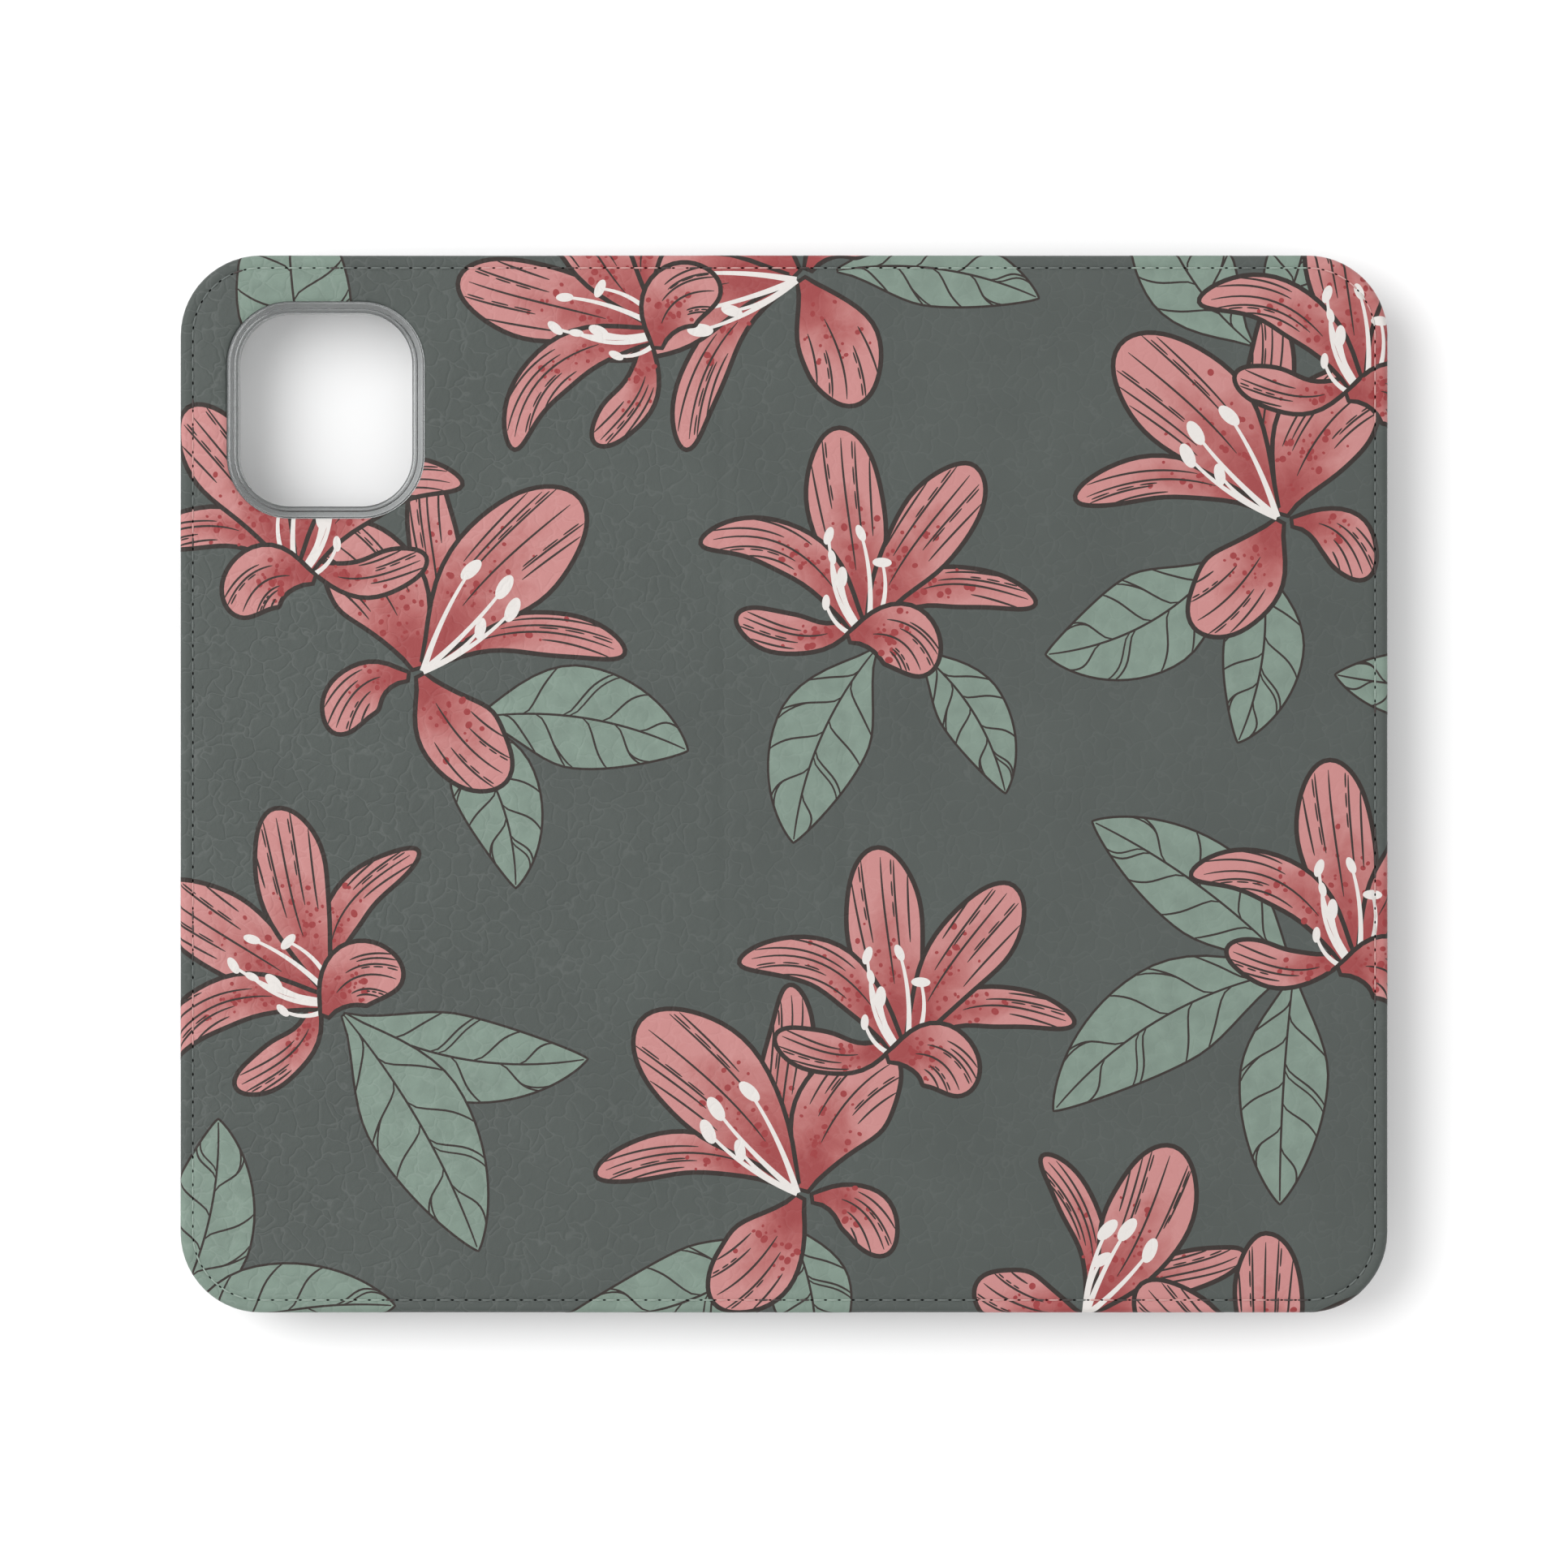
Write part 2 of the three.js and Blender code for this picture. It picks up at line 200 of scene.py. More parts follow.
# Painted shade: the dark inside of a needle hole, drawn as a dark disc on the skin
HOLE_SHADE_RGB = (30, 30, 30)
CLEAR_RGB = (216, 219, 219)
MICROFIBRE_RGB = (74, 76, 78)
POCKET_RGB = (70, 73, 72)
POCKET_THREAD_RGB = (96, 99, 98)
STEEL_RGB = (168, 170, 172)
NICKEL_RGB = (190, 190, 188)
BOARD_RGB = (186, 176, 158)
BOARD_STOPS = ((0.35, (150, 140, 122)), (0.6, (196, 186, 168)), (0.75, (208, 200, 184)))
BOND_RGB = (198, 200, 198)
BOND_STOPS = ((0.4, (184, 187, 186)), (0.65, (208, 210, 208)))

# Camera (its lens and sensor in millimetres), light and floor, in metres
LENS = 200.0
SENSOR = 36.0
VIEW_WIDTH = 235.0 * MM
WORLD_STRENGTH = 0.92
SOFT_BOX_AT = (-0.92, 0.36, 1.30)
SOFT_BOX_SIZE = 1.35
SOFT_BOX_ENERGY = 18.0
FLOOR_HALF = 3.0
FLOOR_SHADE = 0.95
STUDIO_LIGHT = 1.466  # how bright the studio makes a level white surface
STUDIO_GLOSS = 0.013  # the light that the leather's soft gloss adds to any colour
DARKEST = 0.002

# ---- flat geometry


def unit(v):
    """One vector, or rows of them, with length 1."""
    return v / np.maximum(np.linalg.norm(v, axis=-1, keepdims=True), TINY)


def quarter_left(v):
    """Flat vectors turned a quarter turn anticlockwise."""
    return np.stack([-v[..., 1], v[..., 0]], axis=-1)


def turned(v, degrees):
    """Flat vectors turned anticlockwise."""
    a = math.radians(degrees)
    return math.cos(a) * v + math.sin(a) * quarter_left(v)


def signed_area(points):
    x, y = points[:, 0], points[:, 1]
    return 0.5 * float(np.sum(x * np.roll(y, -1) - np.roll(x, -1) * y))


def grown(points, distance):
    """A closed outline moved outwards along its own normals; it runs anticlockwise."""
    ahead = unit(np.roll(points, -1, axis=0) - points)
    behind = unit(points - np.roll(points, 1, axis=0))
    return points - quarter_left(unit(ahead + behind)) * distance


def ribbon(points, half):
    """The outline of a drawn line that has a half width at each of its points."""
    offset = quarter_left(unit(np.gradient(points, axis=0))) * half[:, None]
    return np.concatenate([points + offset, (points - offset)[::-1]])


def arc(cx, cy, radius, start, end, step):
    """Points round a centre from one whole degree to another."""
    angles = [math.radians(a) for a in range(start, end + 1, step)]
    return [(cx + radius * math.cos(a), cy + radius * math.sin(a)) for a in angles]


def bezier(points, t):
    """A cubic curve through its first and last of four points."""
    p0, p1, p2, p3 = (np.asarray(p, float) for p in points)
    t = np.asarray(t, float)[:, None]
    u = 1 - t
    return u**3 * p0 + 3 * u * u * t * p1 + 3 * u * t * t * p2 + t**3 * p3


def rounded_loop(half, corner, middle=(0.0, 0.0), step=3.0, arc_steps=14, straight_steps=None):
    """Points round a rounded rectangle, anticlockwise from the bottom right corner."""
    half = np.asarray(half, float)
    points = []
    for k, corner_sign in enumerate([(1, -1), (1, 1), (-1, 1), (-1, -1)]):
        centre = np.array(corner_sign) * (half - corner)
        for i in range(arc_steps + 1):
            a = math.radians(-90 + 90 * k + 90 * i / arc_steps)
            points.append(centre + corner * np.array([math.cos(a), math.sin(a)]))
        start = points[-1]
        length = 2 * (half - corner)[1 - k % 2]
        count = straight_steps or max(1, int(length / step))
        along = np.array([-math.sin(a), math.cos(a)]) * length
        points += [start + along * i / count for i in range(1, count)]
    return np.array(points) + np.asarray(middle)


def camera_loop(outset=0.0):
    return rounded_loop(CAMERA_HALF + outset, CAMERA_CORNER + outset, CAMERA_MIDDLE, CAMERA_STEP)


class Cutting:
    """Outlines, lines and points that are cut into one flat triangulation."""

    def __init__(self):
        self.points, self.faces, self.edges = [], [], []

    def ring(self, outline, as_face=True):
        """Adds a closed outline, as a face or only as edges, and returns its point numbers."""
        first = len(self.points)
        self.points.extend(np.asarray(outline).tolist())
        ring = list(range(first, first + len(outline)))
        if as_face:
            self.faces.append(ring)
        else:
            self.edges.extend(zip(ring, ring[1:] + ring[:1]))
        return ring

    def line(self, x, low, high, count):
        """Adds a straight line at one x."""
        first = len(self.points)
        self.points.extend([x, y] for y in np.linspace(low, high, count))
        self.edges.extend((first + i, first + i + 1) for i in range(count - 1))

    def cut(self):
        """Points, triangles, each point's own numbers and each triangle's faces."""
        flat = [Vector(p) for p in self.points]
        result = delaunay_2d_cdt(flat, self.edges, self.faces, 0, 1e-4, True)
        return np.array([tuple(p) for p in result[0]]), result[2], result[3], result[5]


# ---- the print, drawn flat


class Artwork:
    """Closed outlines in painting order. A later outline covers an earlier one."""

    def __init__(self):
        self.outlines = []
        self.inks = []
        self.petals = []

    def paint(self, points, ink, petal=None):
        points = np.asarray(points, float)
        if signed_area(points) < 0:
            points = points[::-1]
        self.outlines.append(np.roll(points, len(points) // 3, axis=0))
        self.inks.append(ink)
        self.petals.append(petal)

    def stroke(self, points, width, ink, taper=0.35):
        """A drawn line that is thinner at both ends."""
        t = np.linspace(0, 1, len(points))
        swell = taper + (1 - taper) * np.sqrt(np.clip(4 * t * (1 - t), 0, 1))
        self.paint(ribbon(points, 0.5 * width * swell), ink)

    def dot(self, centre, radius, ink, stretch=1.0, angle=0.0, steps=12):
        turn = np.linspace(0, 2 * math.pi, steps, endpoint=False)
        ring = np.stack([radius * stretch * np.cos(turn), radius * np.sin(turn)], axis=1)
        self.paint(turned(ring, angle) + centre, ink)


class Blade:
    """A petal or leaf: a curved middle line with a width on each side of it."""

    def __init__(self, base, tip, bow, width, widest=0.55, foot=0.3, blunt=0.5, lean=0.0):
        base, tip = np.asarray(base, float), np.asarray(tip, float)
        across = quarter_left(tip - base)
        bows = bow if isinstance(bow, tuple) else (bow, bow)
        self.curve = [
            base,
            base + (tip - base) / 3 + across * bows[0],
            base + (tip - base) * 2 / 3 + across * bows[1],
            tip,
        ]
        self.width, self.widest, self.foot, self.blunt = width, widest, foot, blunt
        self.lean = lean

    def middle(self, t):
        return bezier(self.curve, t)

    def normal(self, t):
        step = 1e-3
        t = np.clip(np.asarray(t, float), step, 1 - step)
        return quarter_left(unit(self.middle(t + step) - self.middle(t - step)))

    def half_width(self, t, side=0.0):
        t = np.asarray(t, float)
        rise = np.sin(0.5 * math.pi * np.clip(t / self.widest, 0, 1)) ** 1.25
        past = np.clip((t - self.widest) / (1 - self.widest), 0, 1)
        fall = (1 - past**1.9) ** self.blunt
        body = np.where(t < self.widest, self.foot + (1 - self.foot) * rise, fall)
        return 0.5 * self.width * body * (1 + side * self.lean)

    def at(self, t, across):
        """Points at the share t along the blade, and from -1 to 1 across it."""
        t = np.atleast_1d(np.asarray(t, float))
        across = np.broadcast_to(np.asarray(across, float), t.shape)
        half = self.half_width(t, np.sign(across))
        return self.middle(t) + self.normal(t) * (across * half)[:, None]

    def beside(self, t, offset):
        """Points at a distance in millimetres beside the middle line."""
        return self.middle(t) + self.normal(t) * np.asarray(offset, float)[:, None]

    def tone(self, points):
        """How light the wash is: deep at the foot and along the middle, light at tip and edges."""
        t = np.linspace(0, 1, 60)
        gaps = np.linalg.norm(points[:, None, :] - self.middle(t)[None, :, :], axis=2)
        nearest = gaps.argmin(axis=1)
        away = gaps.min(axis=1) / (0.5 * self.width)
        return np.clip(0.86 * t[nearest] + 0.3 * away, 0, 1.2)

    def outline(self, steps=22, wave=0.0, phase=0.0):
        """Round the blade from its base, with a gentle wave along both edges."""
        t = 1 - (1 - np.linspace(0, 1, steps)) ** 1.7
        ripple = wave * np.sin(math.pi * t) * np.sin(9.5 * t + phase)
        left = self.at(t, 1.0) + self.normal(t) * ripple[:, None]
        right = self.at(t, -1.0) + self.normal(t) * ripple[:, None]
        points = np.concatenate([right, left[::-1][1:]])
        return points if signed_area(points) > 0 else points[::-1]


def draw_vein(art, blade, offset, start, width=VEIN, stop=1.0, dashes=0):
    """A line beside the middle of a petal, up to the outline; or a row of dashes."""
    t = np.linspace(start, stop, 60)
    apart = offset * (0.42 + 0.58 * t**0.8)
    clear = np.abs(apart) < blade.half_width(t, np.sign(offset)) - 0.1
    count = len(t) if clear.all() else int(np.argmin(clear))
    if count < 12:
        return
    points = blade.beside(t[:count], apart[:count])
    if not dashes:
        art.stroke(points[:: max(1, count // 14)], width, "line", 0.3)
        return
    cuts = np.linspace(0, count - 1, dashes + 1).astype(int)
    for first, last in zip(cuts[:-1], cuts[1:]):
        gap = max(1, (last - first) // 5)
        if last - gap - first >= 3:
            art.stroke(points[first : last - gap : 2], width, "line", 0.5)


def draw_petal(art, rng, blade, veins, freckles, wave=0.22):
    """A petal: dark outline, coral wash, lines from its tip and freckles above its foot."""
    outline = blade.outline(wave=wave, phase=rng.uniform(0, 6))
    art.paint(grown(outline, LINE / 2), "line")
    art.paint(grown(outline, -LINE / 2), "coral", blade)
    half = 0.5 * blade.width
    for _ in range(freckles):
        t = rng.triangular(0.14, 0.72, 0.36)
        across = min(0.78, max(-0.78, rng.gauss(0, 0.42)))
        radius = rng.choice(FRECKLES)
        art.dot(blade.at(t, across)[0], radius, "freckle", rng.uniform(1, 1.3), rng.uniform(0, 180))
    draw_vein(art, blade, rng.uniform(-0.3, 0.3), rng.uniform(0.22, 0.34), stop=0.985)
    pairs = max(1, (veins - 1) // 2)
    for k in range(veins):
        side = -1 if k % 2 else 1
        offset = side * half * (0.44 + 0.4 * (k // 2) / pairs + rng.uniform(-0.05, 0.05))
        draw_vein(art, blade, offset, rng.uniform(0.36, 0.62))
        if k < (2 if half > 4 else 1):
            near = offset + 0.45 * rng.choice([-1, 1])
            draw_vein(art, blade, near, rng.uniform(0.55, 0.66), VEIN * 0.8, 0.97, 3)


def draw_stamen(art, foot, head, bow, size, tilt):
    """A pale filament with a long anther across its end."""
    across = quarter_left(head - foot) * bow
    curve = [foot, foot + (head - foot) / 3 + across, foot + (head - foot) * 0.7 + across, head]
    t = np.linspace(0, 1, 12)
    points = bezier(curve, t)
    art.paint(ribbon(points, 0.5 - 0.3 * t**0.8), "white")
    along = math.degrees(math.atan2(*(head - points[-3])[::-1]))
    art.dot(head, 0.66 * size, "white", 2.0, along + tilt, steps=20)


def draw_leaf(art, rng, blade, pairs=4):
    """A leaf: thin dark outline, sage inside, a middle rib and side veins that curve to the tip."""
    outline = blade.outline(steps=26)
    art.paint(grown(outline, LEAF_LINE / 2), "line")
    art.paint(grown(outline, -LEAF_LINE / 2), "sage")
    art.stroke(blade.at(np.linspace(0.0, 0.985, 22), 0.0), LEAF_LINE, "line", 0.6)
    twin = rng.randrange(1, pairs)
    t = np.linspace(0, 1, 10)
    sweep = (np.sin(0.5 * math.pi * t) ** 1.3) * 0.98
    for k in range(pairs):
        for side in (-1, 1):
            start = 0.1 + 0.74 * (k + (0.5 if side > 0 else 0.0)) / pairs + rng.uniform(-0.02, 0.02)
            reach = rng.uniform(0.13, 0.2)
            along = np.minimum(start + reach * t**0.75, 0.985)
            spread = side * sweep * (1 + 0.06 * np.sin(2 * math.pi * t))
            art.stroke(blade.at(along, np.clip(spread, -0.98, 0.98)), LEAF_LINE * 0.9, "line", 0.65)
            if k == twin and side > 0:
                art.stroke(blade.at(along + 0.03, spread), LEAF_LINE * 0.8, "line", 0.65)
            elif k % 2 and side < 0:
                fork = slice(4, None)
                branch = blade.at(along[fork] + 0.075 * t[fork] * (t[fork] - t[4]), spread[fork])
                art.stroke(branch, LEAF_LINE * 0.8, "line", 0.65)


class Placed:
    """Puts a motif's own points, in millimetres round its middle, on the cover."""

    def __init__(self, middle, degrees=0.0, mirror=False, scale=1.0):
        self.middle = np.asarray(middle, float)
        self.degrees, self.mirror, self.scale = degrees, mirror, scale
        self.turn = -1 if mirror else 1

    def point(self, x, y):
        flipped = np.array([self.turn * x, y], float) * self.scale
        return self.middle + turned(flipped, self.degrees)

    def blade(self, base, tip, bow, width, **shape):
        bows = tuple(self.turn * b for b in bow)
        if "lean" in shape:
            shape["lean"] *= self.turn
        return Blade(self.point(*base), self.point(*tip), bows, width * self.scale, **shape)


# Petals: base, tip, how far the middle line bows in its two halves, width, shape, veins, freckles.
# Stamens: head, bow, size and the anther's tilt.
# A lily seen from the side has an upright petal, arms to both sides and a front petal below.
STAR_PETALS = (
    ((-1.0, 3.4), (-19.2, 3.6), (0.30, 0.13), 6.2, dict(widest=0.66, foot=0.2), 3, 14),
    ((2.0, 2.4), (25.6, 5.4), (0.32, 0.16), 6.0, dict(widest=0.5, foot=0.25), 3, 14),
    ((-0.6, 2.0), (-3.8, 31.8), (-0.02, 0.03), 11.4, dict(widest=0.62, foot=0.24), 4, 20),
    ((0.8, 1.6), (16.6, 26.0), (0.10, 0.03), 10.6, dict(widest=0.66, foot=0.14, lean=-0.12), 4, 26),
    ((-0.8, 1.4), (-24.6, 14.4), (-0.22, -0.34), 7.2, dict(widest=0.52, foot=0.3), 4, 20),
)
STAR_STAMENS = (
    ((-5.4, 15.6), 0.10, 1.05, -24), ((-0.6, 16.0), -0.08, 1.0, 8), ((-4.9, 12.4), 0.16, 0.85, 14),
    ((2.6, 11.6), -0.16, 1.1, 76), ((-3.4, 9.4), 0.12, 1.2, -6), ((-5.8, 5.6), 0.22, 0.9, -22),
)
STAR_FRONT = ((-2.4, 0.2), (8.8, -5.4), (0.34, 0.36), 9.8, dict(widest=0.56, foot=0.14, lean=0.1), 5, 22)
# A lily that opens towards the viewer has one broad petal, folded ones and long stamens.
OPEN_PETALS = (
    ((-0.5, 1.2), (-1.4, 31.6), (0.16, -0.06), 7.4, dict(widest=0.56, foot=0.2), 3, 12),
    ((0.6, 0.8), (14.8, 20.6), (0.12, 0.16), 13.6, dict(widest=0.6, foot=0.12), 5, 26),
    ((-1.0, 1.2), (-30.4, 3.0), (-0.20, -0.18), 6.4, dict(widest=0.66, foot=0.18), 3, 12),
    ((-0.8, 1.6), (-23.8, 26.2), (-0.10, -0.05), 15.4, dict(widest=0.6, foot=0.12), 5, 26),
    ((2.0, -0.4), (12.8, -9.0), (0.34, 0.24), 8.0, dict(widest=0.58, foot=0.16), 4, 12),
    ((0.2, -0.2), (-13.2, -15.4), (0.08, 0.14), 12.0, dict(widest=0.56, foot=0.12), 4, 20),
)
OPEN_STAMENS = (
    ((-7.4, 15.6), -0.05, 1.5, 14), ((-12.4, 13.0), 0.04, 1.55, -6),
    ((-13.6, 9.6), 0.08, 1.5, -18), ((-8.8, 6.8), 0.10, 1.25, -26),
)


def draw_lily(art, rng, place, petals, foot, stamens, wave=0.22):
    """Petals from the back to the front, then the stamens over them."""
    for base, tip, bow, width, shape, veins, freckles in petals:
        draw_petal(art, rng, place.blade(base, tip, bow, width, **shape), veins, freckles, wave)
    for head, bow, size, tilt in stamens:
        ends = place.point(*foot), place.point(*head)
        draw_stamen(art, *ends, bow * place.turn, size, tilt * place.turn)


def draw_print():
    """The whole lily print. Leaves lie under the flowers they belong to."""
    art = Artwork()
    rng = random.Random(PRINT_SEED)

    def leaf(base, tip, width, bow):
        draw_leaf(art, rng, Blade(base, tip, bow, width, widest=0.46, foot=0.05, blunt=0.85))

    def star(x, y, **how):
        place = Placed((x, y), **how)
        draw_lily(art, rng, place, STAR_PETALS, (0.3, 0.2), STAR_STAMENS)
        draw_lily(art, rng, place, (STAR_FRONT,), (0, 0), (), wave=0.12)

    def open_lily(x, y, **how):
        draw_lily(art, rng, Placed((x, y), **how), OPEN_PETALS, (-0.2, 0.4), OPEN_STAMENS)

    leaf((13.6, 20.0), (1.4, -8.8), 14.4, -0.1)
    leaf((20.0, 20.0), (33.2, -1.4), 10.0, 0.12)
    star(12.1, 21.6)
    leaf((2.0, -66.0), (-32.8, -80.0), 15.0, 0.16)
    leaf((0.5, -66.0), (4.5, -88.0), 12.0, 0.1)
    open_lily(2.2, -61.7)
    star(17.9, -41.3)
    leaf((70.0, 66.0), (54.5, 92.0), 14.0, 0.12)
    leaf((72.0, 66.0), (79.0, 92.0), 10.0, -0.1)
    leaf((66.0, 34.0), (39.2, 19.4), 15.2, 0.14)
    leaf((71.5, 33.0), (68.0, 6.2), 12.0, 0.1)
    open_lily(74.1, 39.6)
    star(86.8, 57.8)
    leaf((76.0, -27.4), (46.2, -5.6), 14.2, -0.06)
    leaf((75.8, -28.0), (40.4, -49.0), 15.2, -0.12)
    leaf((76.4, -28.4), (74.3, -63.0), 13.2, -0.02)
    star(85.6, -28.2)
    leaf((-66.0, -34.6), (-29.4, -41.2), 13.0, -0.12)
    leaf((-66.0, -34.6), (-45.8, -70.0), 15.4, 0.06)
    star(-67.1, -33.1, degrees=50)
    leaf((-46.0, 10.0), (-14.4, 5.0), 15.4, 0.1)
    leaf((-51.4, 11.0), (-40.2, -15.6), 12.6, 0.14)
    open_lily(-54.3, 16.5, mirror=True)
    star(-72.8, 30.4, mirror=True)
    leaf((8.0, 77.0), (38.2, 72.8), 11.4, 0.1)
    open_lily(2.3, 75.5, degrees=62)
    star(-17.8, 67.5, degrees=68)
    leaf((-70.0, 56.0), (-74.0, 92.0), 17.0, 0.06)
    leaf((-93.0, -82.0), (-84.8, -50.2), 14.0, -0.1)
    leaf((-94.0, -86.0), (-58.3, -78.2), 15.0, 0.1)
    leaf((106.0, 15.0), (82.6, 16.4), 10.0, 0.05)
    open_lily(44.9, -80.0, degrees=-70, scale=0.82)
    star(75.0, -96.5, degrees=38, scale=0.95)
    return art


# ---- the cover's surface


def outline_distance(uv, half=HALF, corner=CORNER, middle=(0.0, 0.0)):
    """Distance to a rounded rectangle, negative inside it, and the direction straight out."""
    p = uv - np.asarray(middle)
    q = np.abs(p) - (np.asarray(half) - corner)
    reach = np.maximum(q, 0)
    length = np.hypot(reach[:, 0], reach[:, 1])
    distance = length + np.minimum(q.max(axis=1), 0) - corner
    axis = np.zeros_like(q)
    axis[np.arange(len(q)), q.argmax(axis=1)] = 1
    out = np.where(length[:, None] > 0, reach / np.maximum(length, TINY)[:, None], axis)
    return distance, out * np.where(p < 0, -1.0, 1.0)


def camera_distance(uv):
    return outline_distance(uv, CAMERA_HALF, CAMERA_CORNER, CAMERA_MIDDLE)[0]


def smooth(x):
    x = np.clip(x, 0, 1)
    return x * x * (3 - 2 * x)


def by_fold(x, panel, fold, spine, start=1.2, run=2.4):
    """A value for panels, folds and spine that changes smoothly beside each fold."""
    away = np.abs(x) - FOLD_X
    on_panel = fold + (panel - fold) * smooth((away - start) / run)
    on_spine = fold + (spine - fold) * smooth((-away - 0.8) / 1.8)
    return np.where(away > 0, on_panel, on_spine)


def bump_at(distance, depth, reach):
    """A rounded bump of a height over a line, that fades to both sides."""
    return depth * np.exp(-((distance / reach) ** 2))


def slope_from(distance, depth, reach):
    """A height that falls off with distance."""
    return depth * np.exp(-distance / reach)


def relief(uv, inset):
    """Height of the outer face against the CAD's flat top: seam channel, soft panel, creases."""
    seam = inset - SEAM_INSET
    z = -bump_at(seam, *SEAM_CHANNEL) - bump_at(seam, *SEAM_PULL)
    z -= slope_from(inset, *EDGE_SLOPE)
    z -= bump_at(np.abs(uv[:, 0]) - FOLD_X, *FOLD_CREASE)
    z -= slope_from(np.maximum(camera_distance(uv), 0), *OPENING_EDGE)
    return z


def surface(uv, lift=0.0):
    """Wraps flat pattern points over the cover: flat on top, round the edge, then in underneath."""
    uv = np.asarray(uv, float)
    distance, out = outline_distance(uv)
    past = np.maximum(distance + ROLL, 0)
    start = uv - out * past[:, None]
    angle = np.clip(past / ROLL, 0, math.pi)
    run = np.maximum(past - math.pi * ROLL, 0)
    sideways = (ROLL + lift) * np.sin(angle) - run
    top = TOP + relief(uv, np.maximum(-distance, ROLL))
    thickness = by_fold(uv[:, 0], PANEL_THICKNESS, FOLD_THICKNESS, SPINE_THICKNESS)
    z = top - 0.5 * thickness * (1 - np.cos(angle)) + lift * np.cos(angle)
    return np.column_stack([start + out * sideways[:, None], z])


def flat_mesh(art):
    """Cuts the print and the bend lines into one triangulation of the flat pattern.

    Returns points, triangles, and the outline that each triangle shows or -1 for bare leather."""
    cutting = Cutting()
    cutting.ring(rounded_loop(HALF + PATTERN_REACH, CORNER + PATTERN_REACH))
    cutting.ring(camera_loop())
    for outline in art.outlines:
        cutting.ring(outline)
    for inset in CONTOURS:
        cutting.ring(rounded_loop(HALF - inset, CORNER - inset), as_face=False)
    for outset in CAMERA_CONTOURS:
        cutting.ring(camera_loop(outset), as_face=False)
    far = HALF[1] + PATTERN_REACH + 2
    rows = np.arange(-BEND, BEND + 0.01, BEND_STEP)
    for x in [0.0, *(-FOLD_X + rows), *(FOLD_X + rows)]:
        cutting.line(x, -far, far, 60)
    reach = HALF + PATTERN_REACH
    columns, lines = (int(2 * r / MESH_SPACING) for r in reach)
    for i in range(columns):
        for j in range(lines):
            x = -reach[0] + MESH_SPACING * (i + 0.25 + 0.5 * (j % 2))
            cutting.points.append([x, -reach[1] + MESH_SPACING * (j + 0.5)])
    uv, triangles, _, faces_over = cutting.cut()
    owners = np.array([max(over) if 0 in over and 1 not in over else -1 for over in faces_over])
    keep = owners >= 0
    first_outline = 2
    shown = np.where(owners < first_outline, -1, owners - first_outline)
    return uv, wound_up(uv, np.array(triangles)[keep]), shown[keep]


# ---- making meshes


def wound_up(uv, triangles):
    """Turns each flat triangle anticlockwise, so that its face looks up."""
    a, b, c = uv[triangles[:, 0]], uv[triangles[:, 1]], uv[triangles[:, 2]]
    area = (b[:, 0] - a[:, 0]) * (c[:, 1] - a[:, 1]) - (b[:, 1] - a[:, 1]) * (c[:, 0] - a[:, 0])
    return np.where((area > 0)[:, None], triangles, triangles[:, ::-1])


def keep_rest(piece):
    """Stores where each point lies in the open case, so that a bent piece keeps its grain."""
    attributes = piece.data.attributes
    rest = attributes.get("rest") or attributes.new("rest", "FLOAT_VECTOR", "POINT")
    rest.data.foreach_set("vector", np.array([v.co / MM for v in piece.data.vertices], "f").ravel())


def make_mesh(name, points_mm, faces, material=None, smooth_shading=True):
    """A mesh object from points in millimetres; unused points are dropped."""
    faces = [tuple(int(i) for i in f) for f in faces]
    used = sorted({i for f in faces for i in f})
    number = {old: new for new, old in enumerate(used)}
    mesh = bpy.data.meshes.new(name)
    kept = np.asarray(points_mm, float)[used] * MM
    mesh.from_pydata(kept.tolist(), [], [tuple(number[i] for i in f) for f in faces])
    if smooth_shading:
        mesh.polygons.foreach_set("use_smooth", [True] * len(mesh.polygons))
    if material:
        mesh.materials.append(material)
    piece = bpy.data.objects.new(name, mesh)
    bpy.context.scene.collection.objects.link(piece)
    keep_rest(piece)
    return piece


def weld(piece, distance=1e-6):
    mesh = bmesh.new()
    mesh.from_mesh(piece.data)
    bmesh.ops.remove_doubles(mesh, verts=mesh.verts, dist=distance)
    bmesh.ops.recalc_face_normals(mesh, faces=mesh.faces)
    mesh.to_mesh(piece.data)
    mesh.free()


def sharpen(piece, degrees):
    """Marks edges sharper than an angle, so that flat faces stay flat in smooth shading."""
    mesh = bmesh.new()
    mesh.from_mesh(piece.data)
    limit = math.radians(degrees)
    for edge in mesh.edges:
        if len(edge.link_faces) == 2 and edge.calc_face_angle(0.0) > limit:
            edge.smooth = False
    mesh.to_mesh(piece.data)
    mesh.free()


def loft(points, faces, rings):
    """Joins rings of the same count, one after another."""
    first = len(points)
    count = len(rings[0])
    for ring in rings:
        points.extend(ring)
    for k in range(len(rings) - 1):
        for j in range(count):
            a = first + k * count + j
            b = first + k * count + (j + 1) % count
            faces.append((a, b, b + count, a + count))


SIDES = (  # name, side of the cover, and the two bodies that a piece on it is blended between
    ("back", -1, "back_cover", "spine"),
    ("front", 1, "spine", "front_flap"),
)


def bend_over_fold(piece, side, first, second):
    """Carries a cover piece over the fold on its own side of the spine."""
    x = side * FOLD_X * MM
    reach = BEND * MM
    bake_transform(piece, first, second, start=(x - reach, 0, TOP * MM), end=(x + reach, 0, TOP * MM))


# ---- materials


def linear(value):
    """One channel of an sRGB colour, 0 to 255, as linear light."""
    c = value / 255
    return c / 12.92 if c <= 0.04045 else ((c + 0.055) / 1.055) ** 2.4


def under_light(rgb):
    """The base colour that looks like an sRGB colour on the level cover in the studio's light."""
    return (*(max(DARKEST, (linear(c) - STUDIO_GLOSS) / STUDIO_LIGHT) for c in rgb), 1.0)


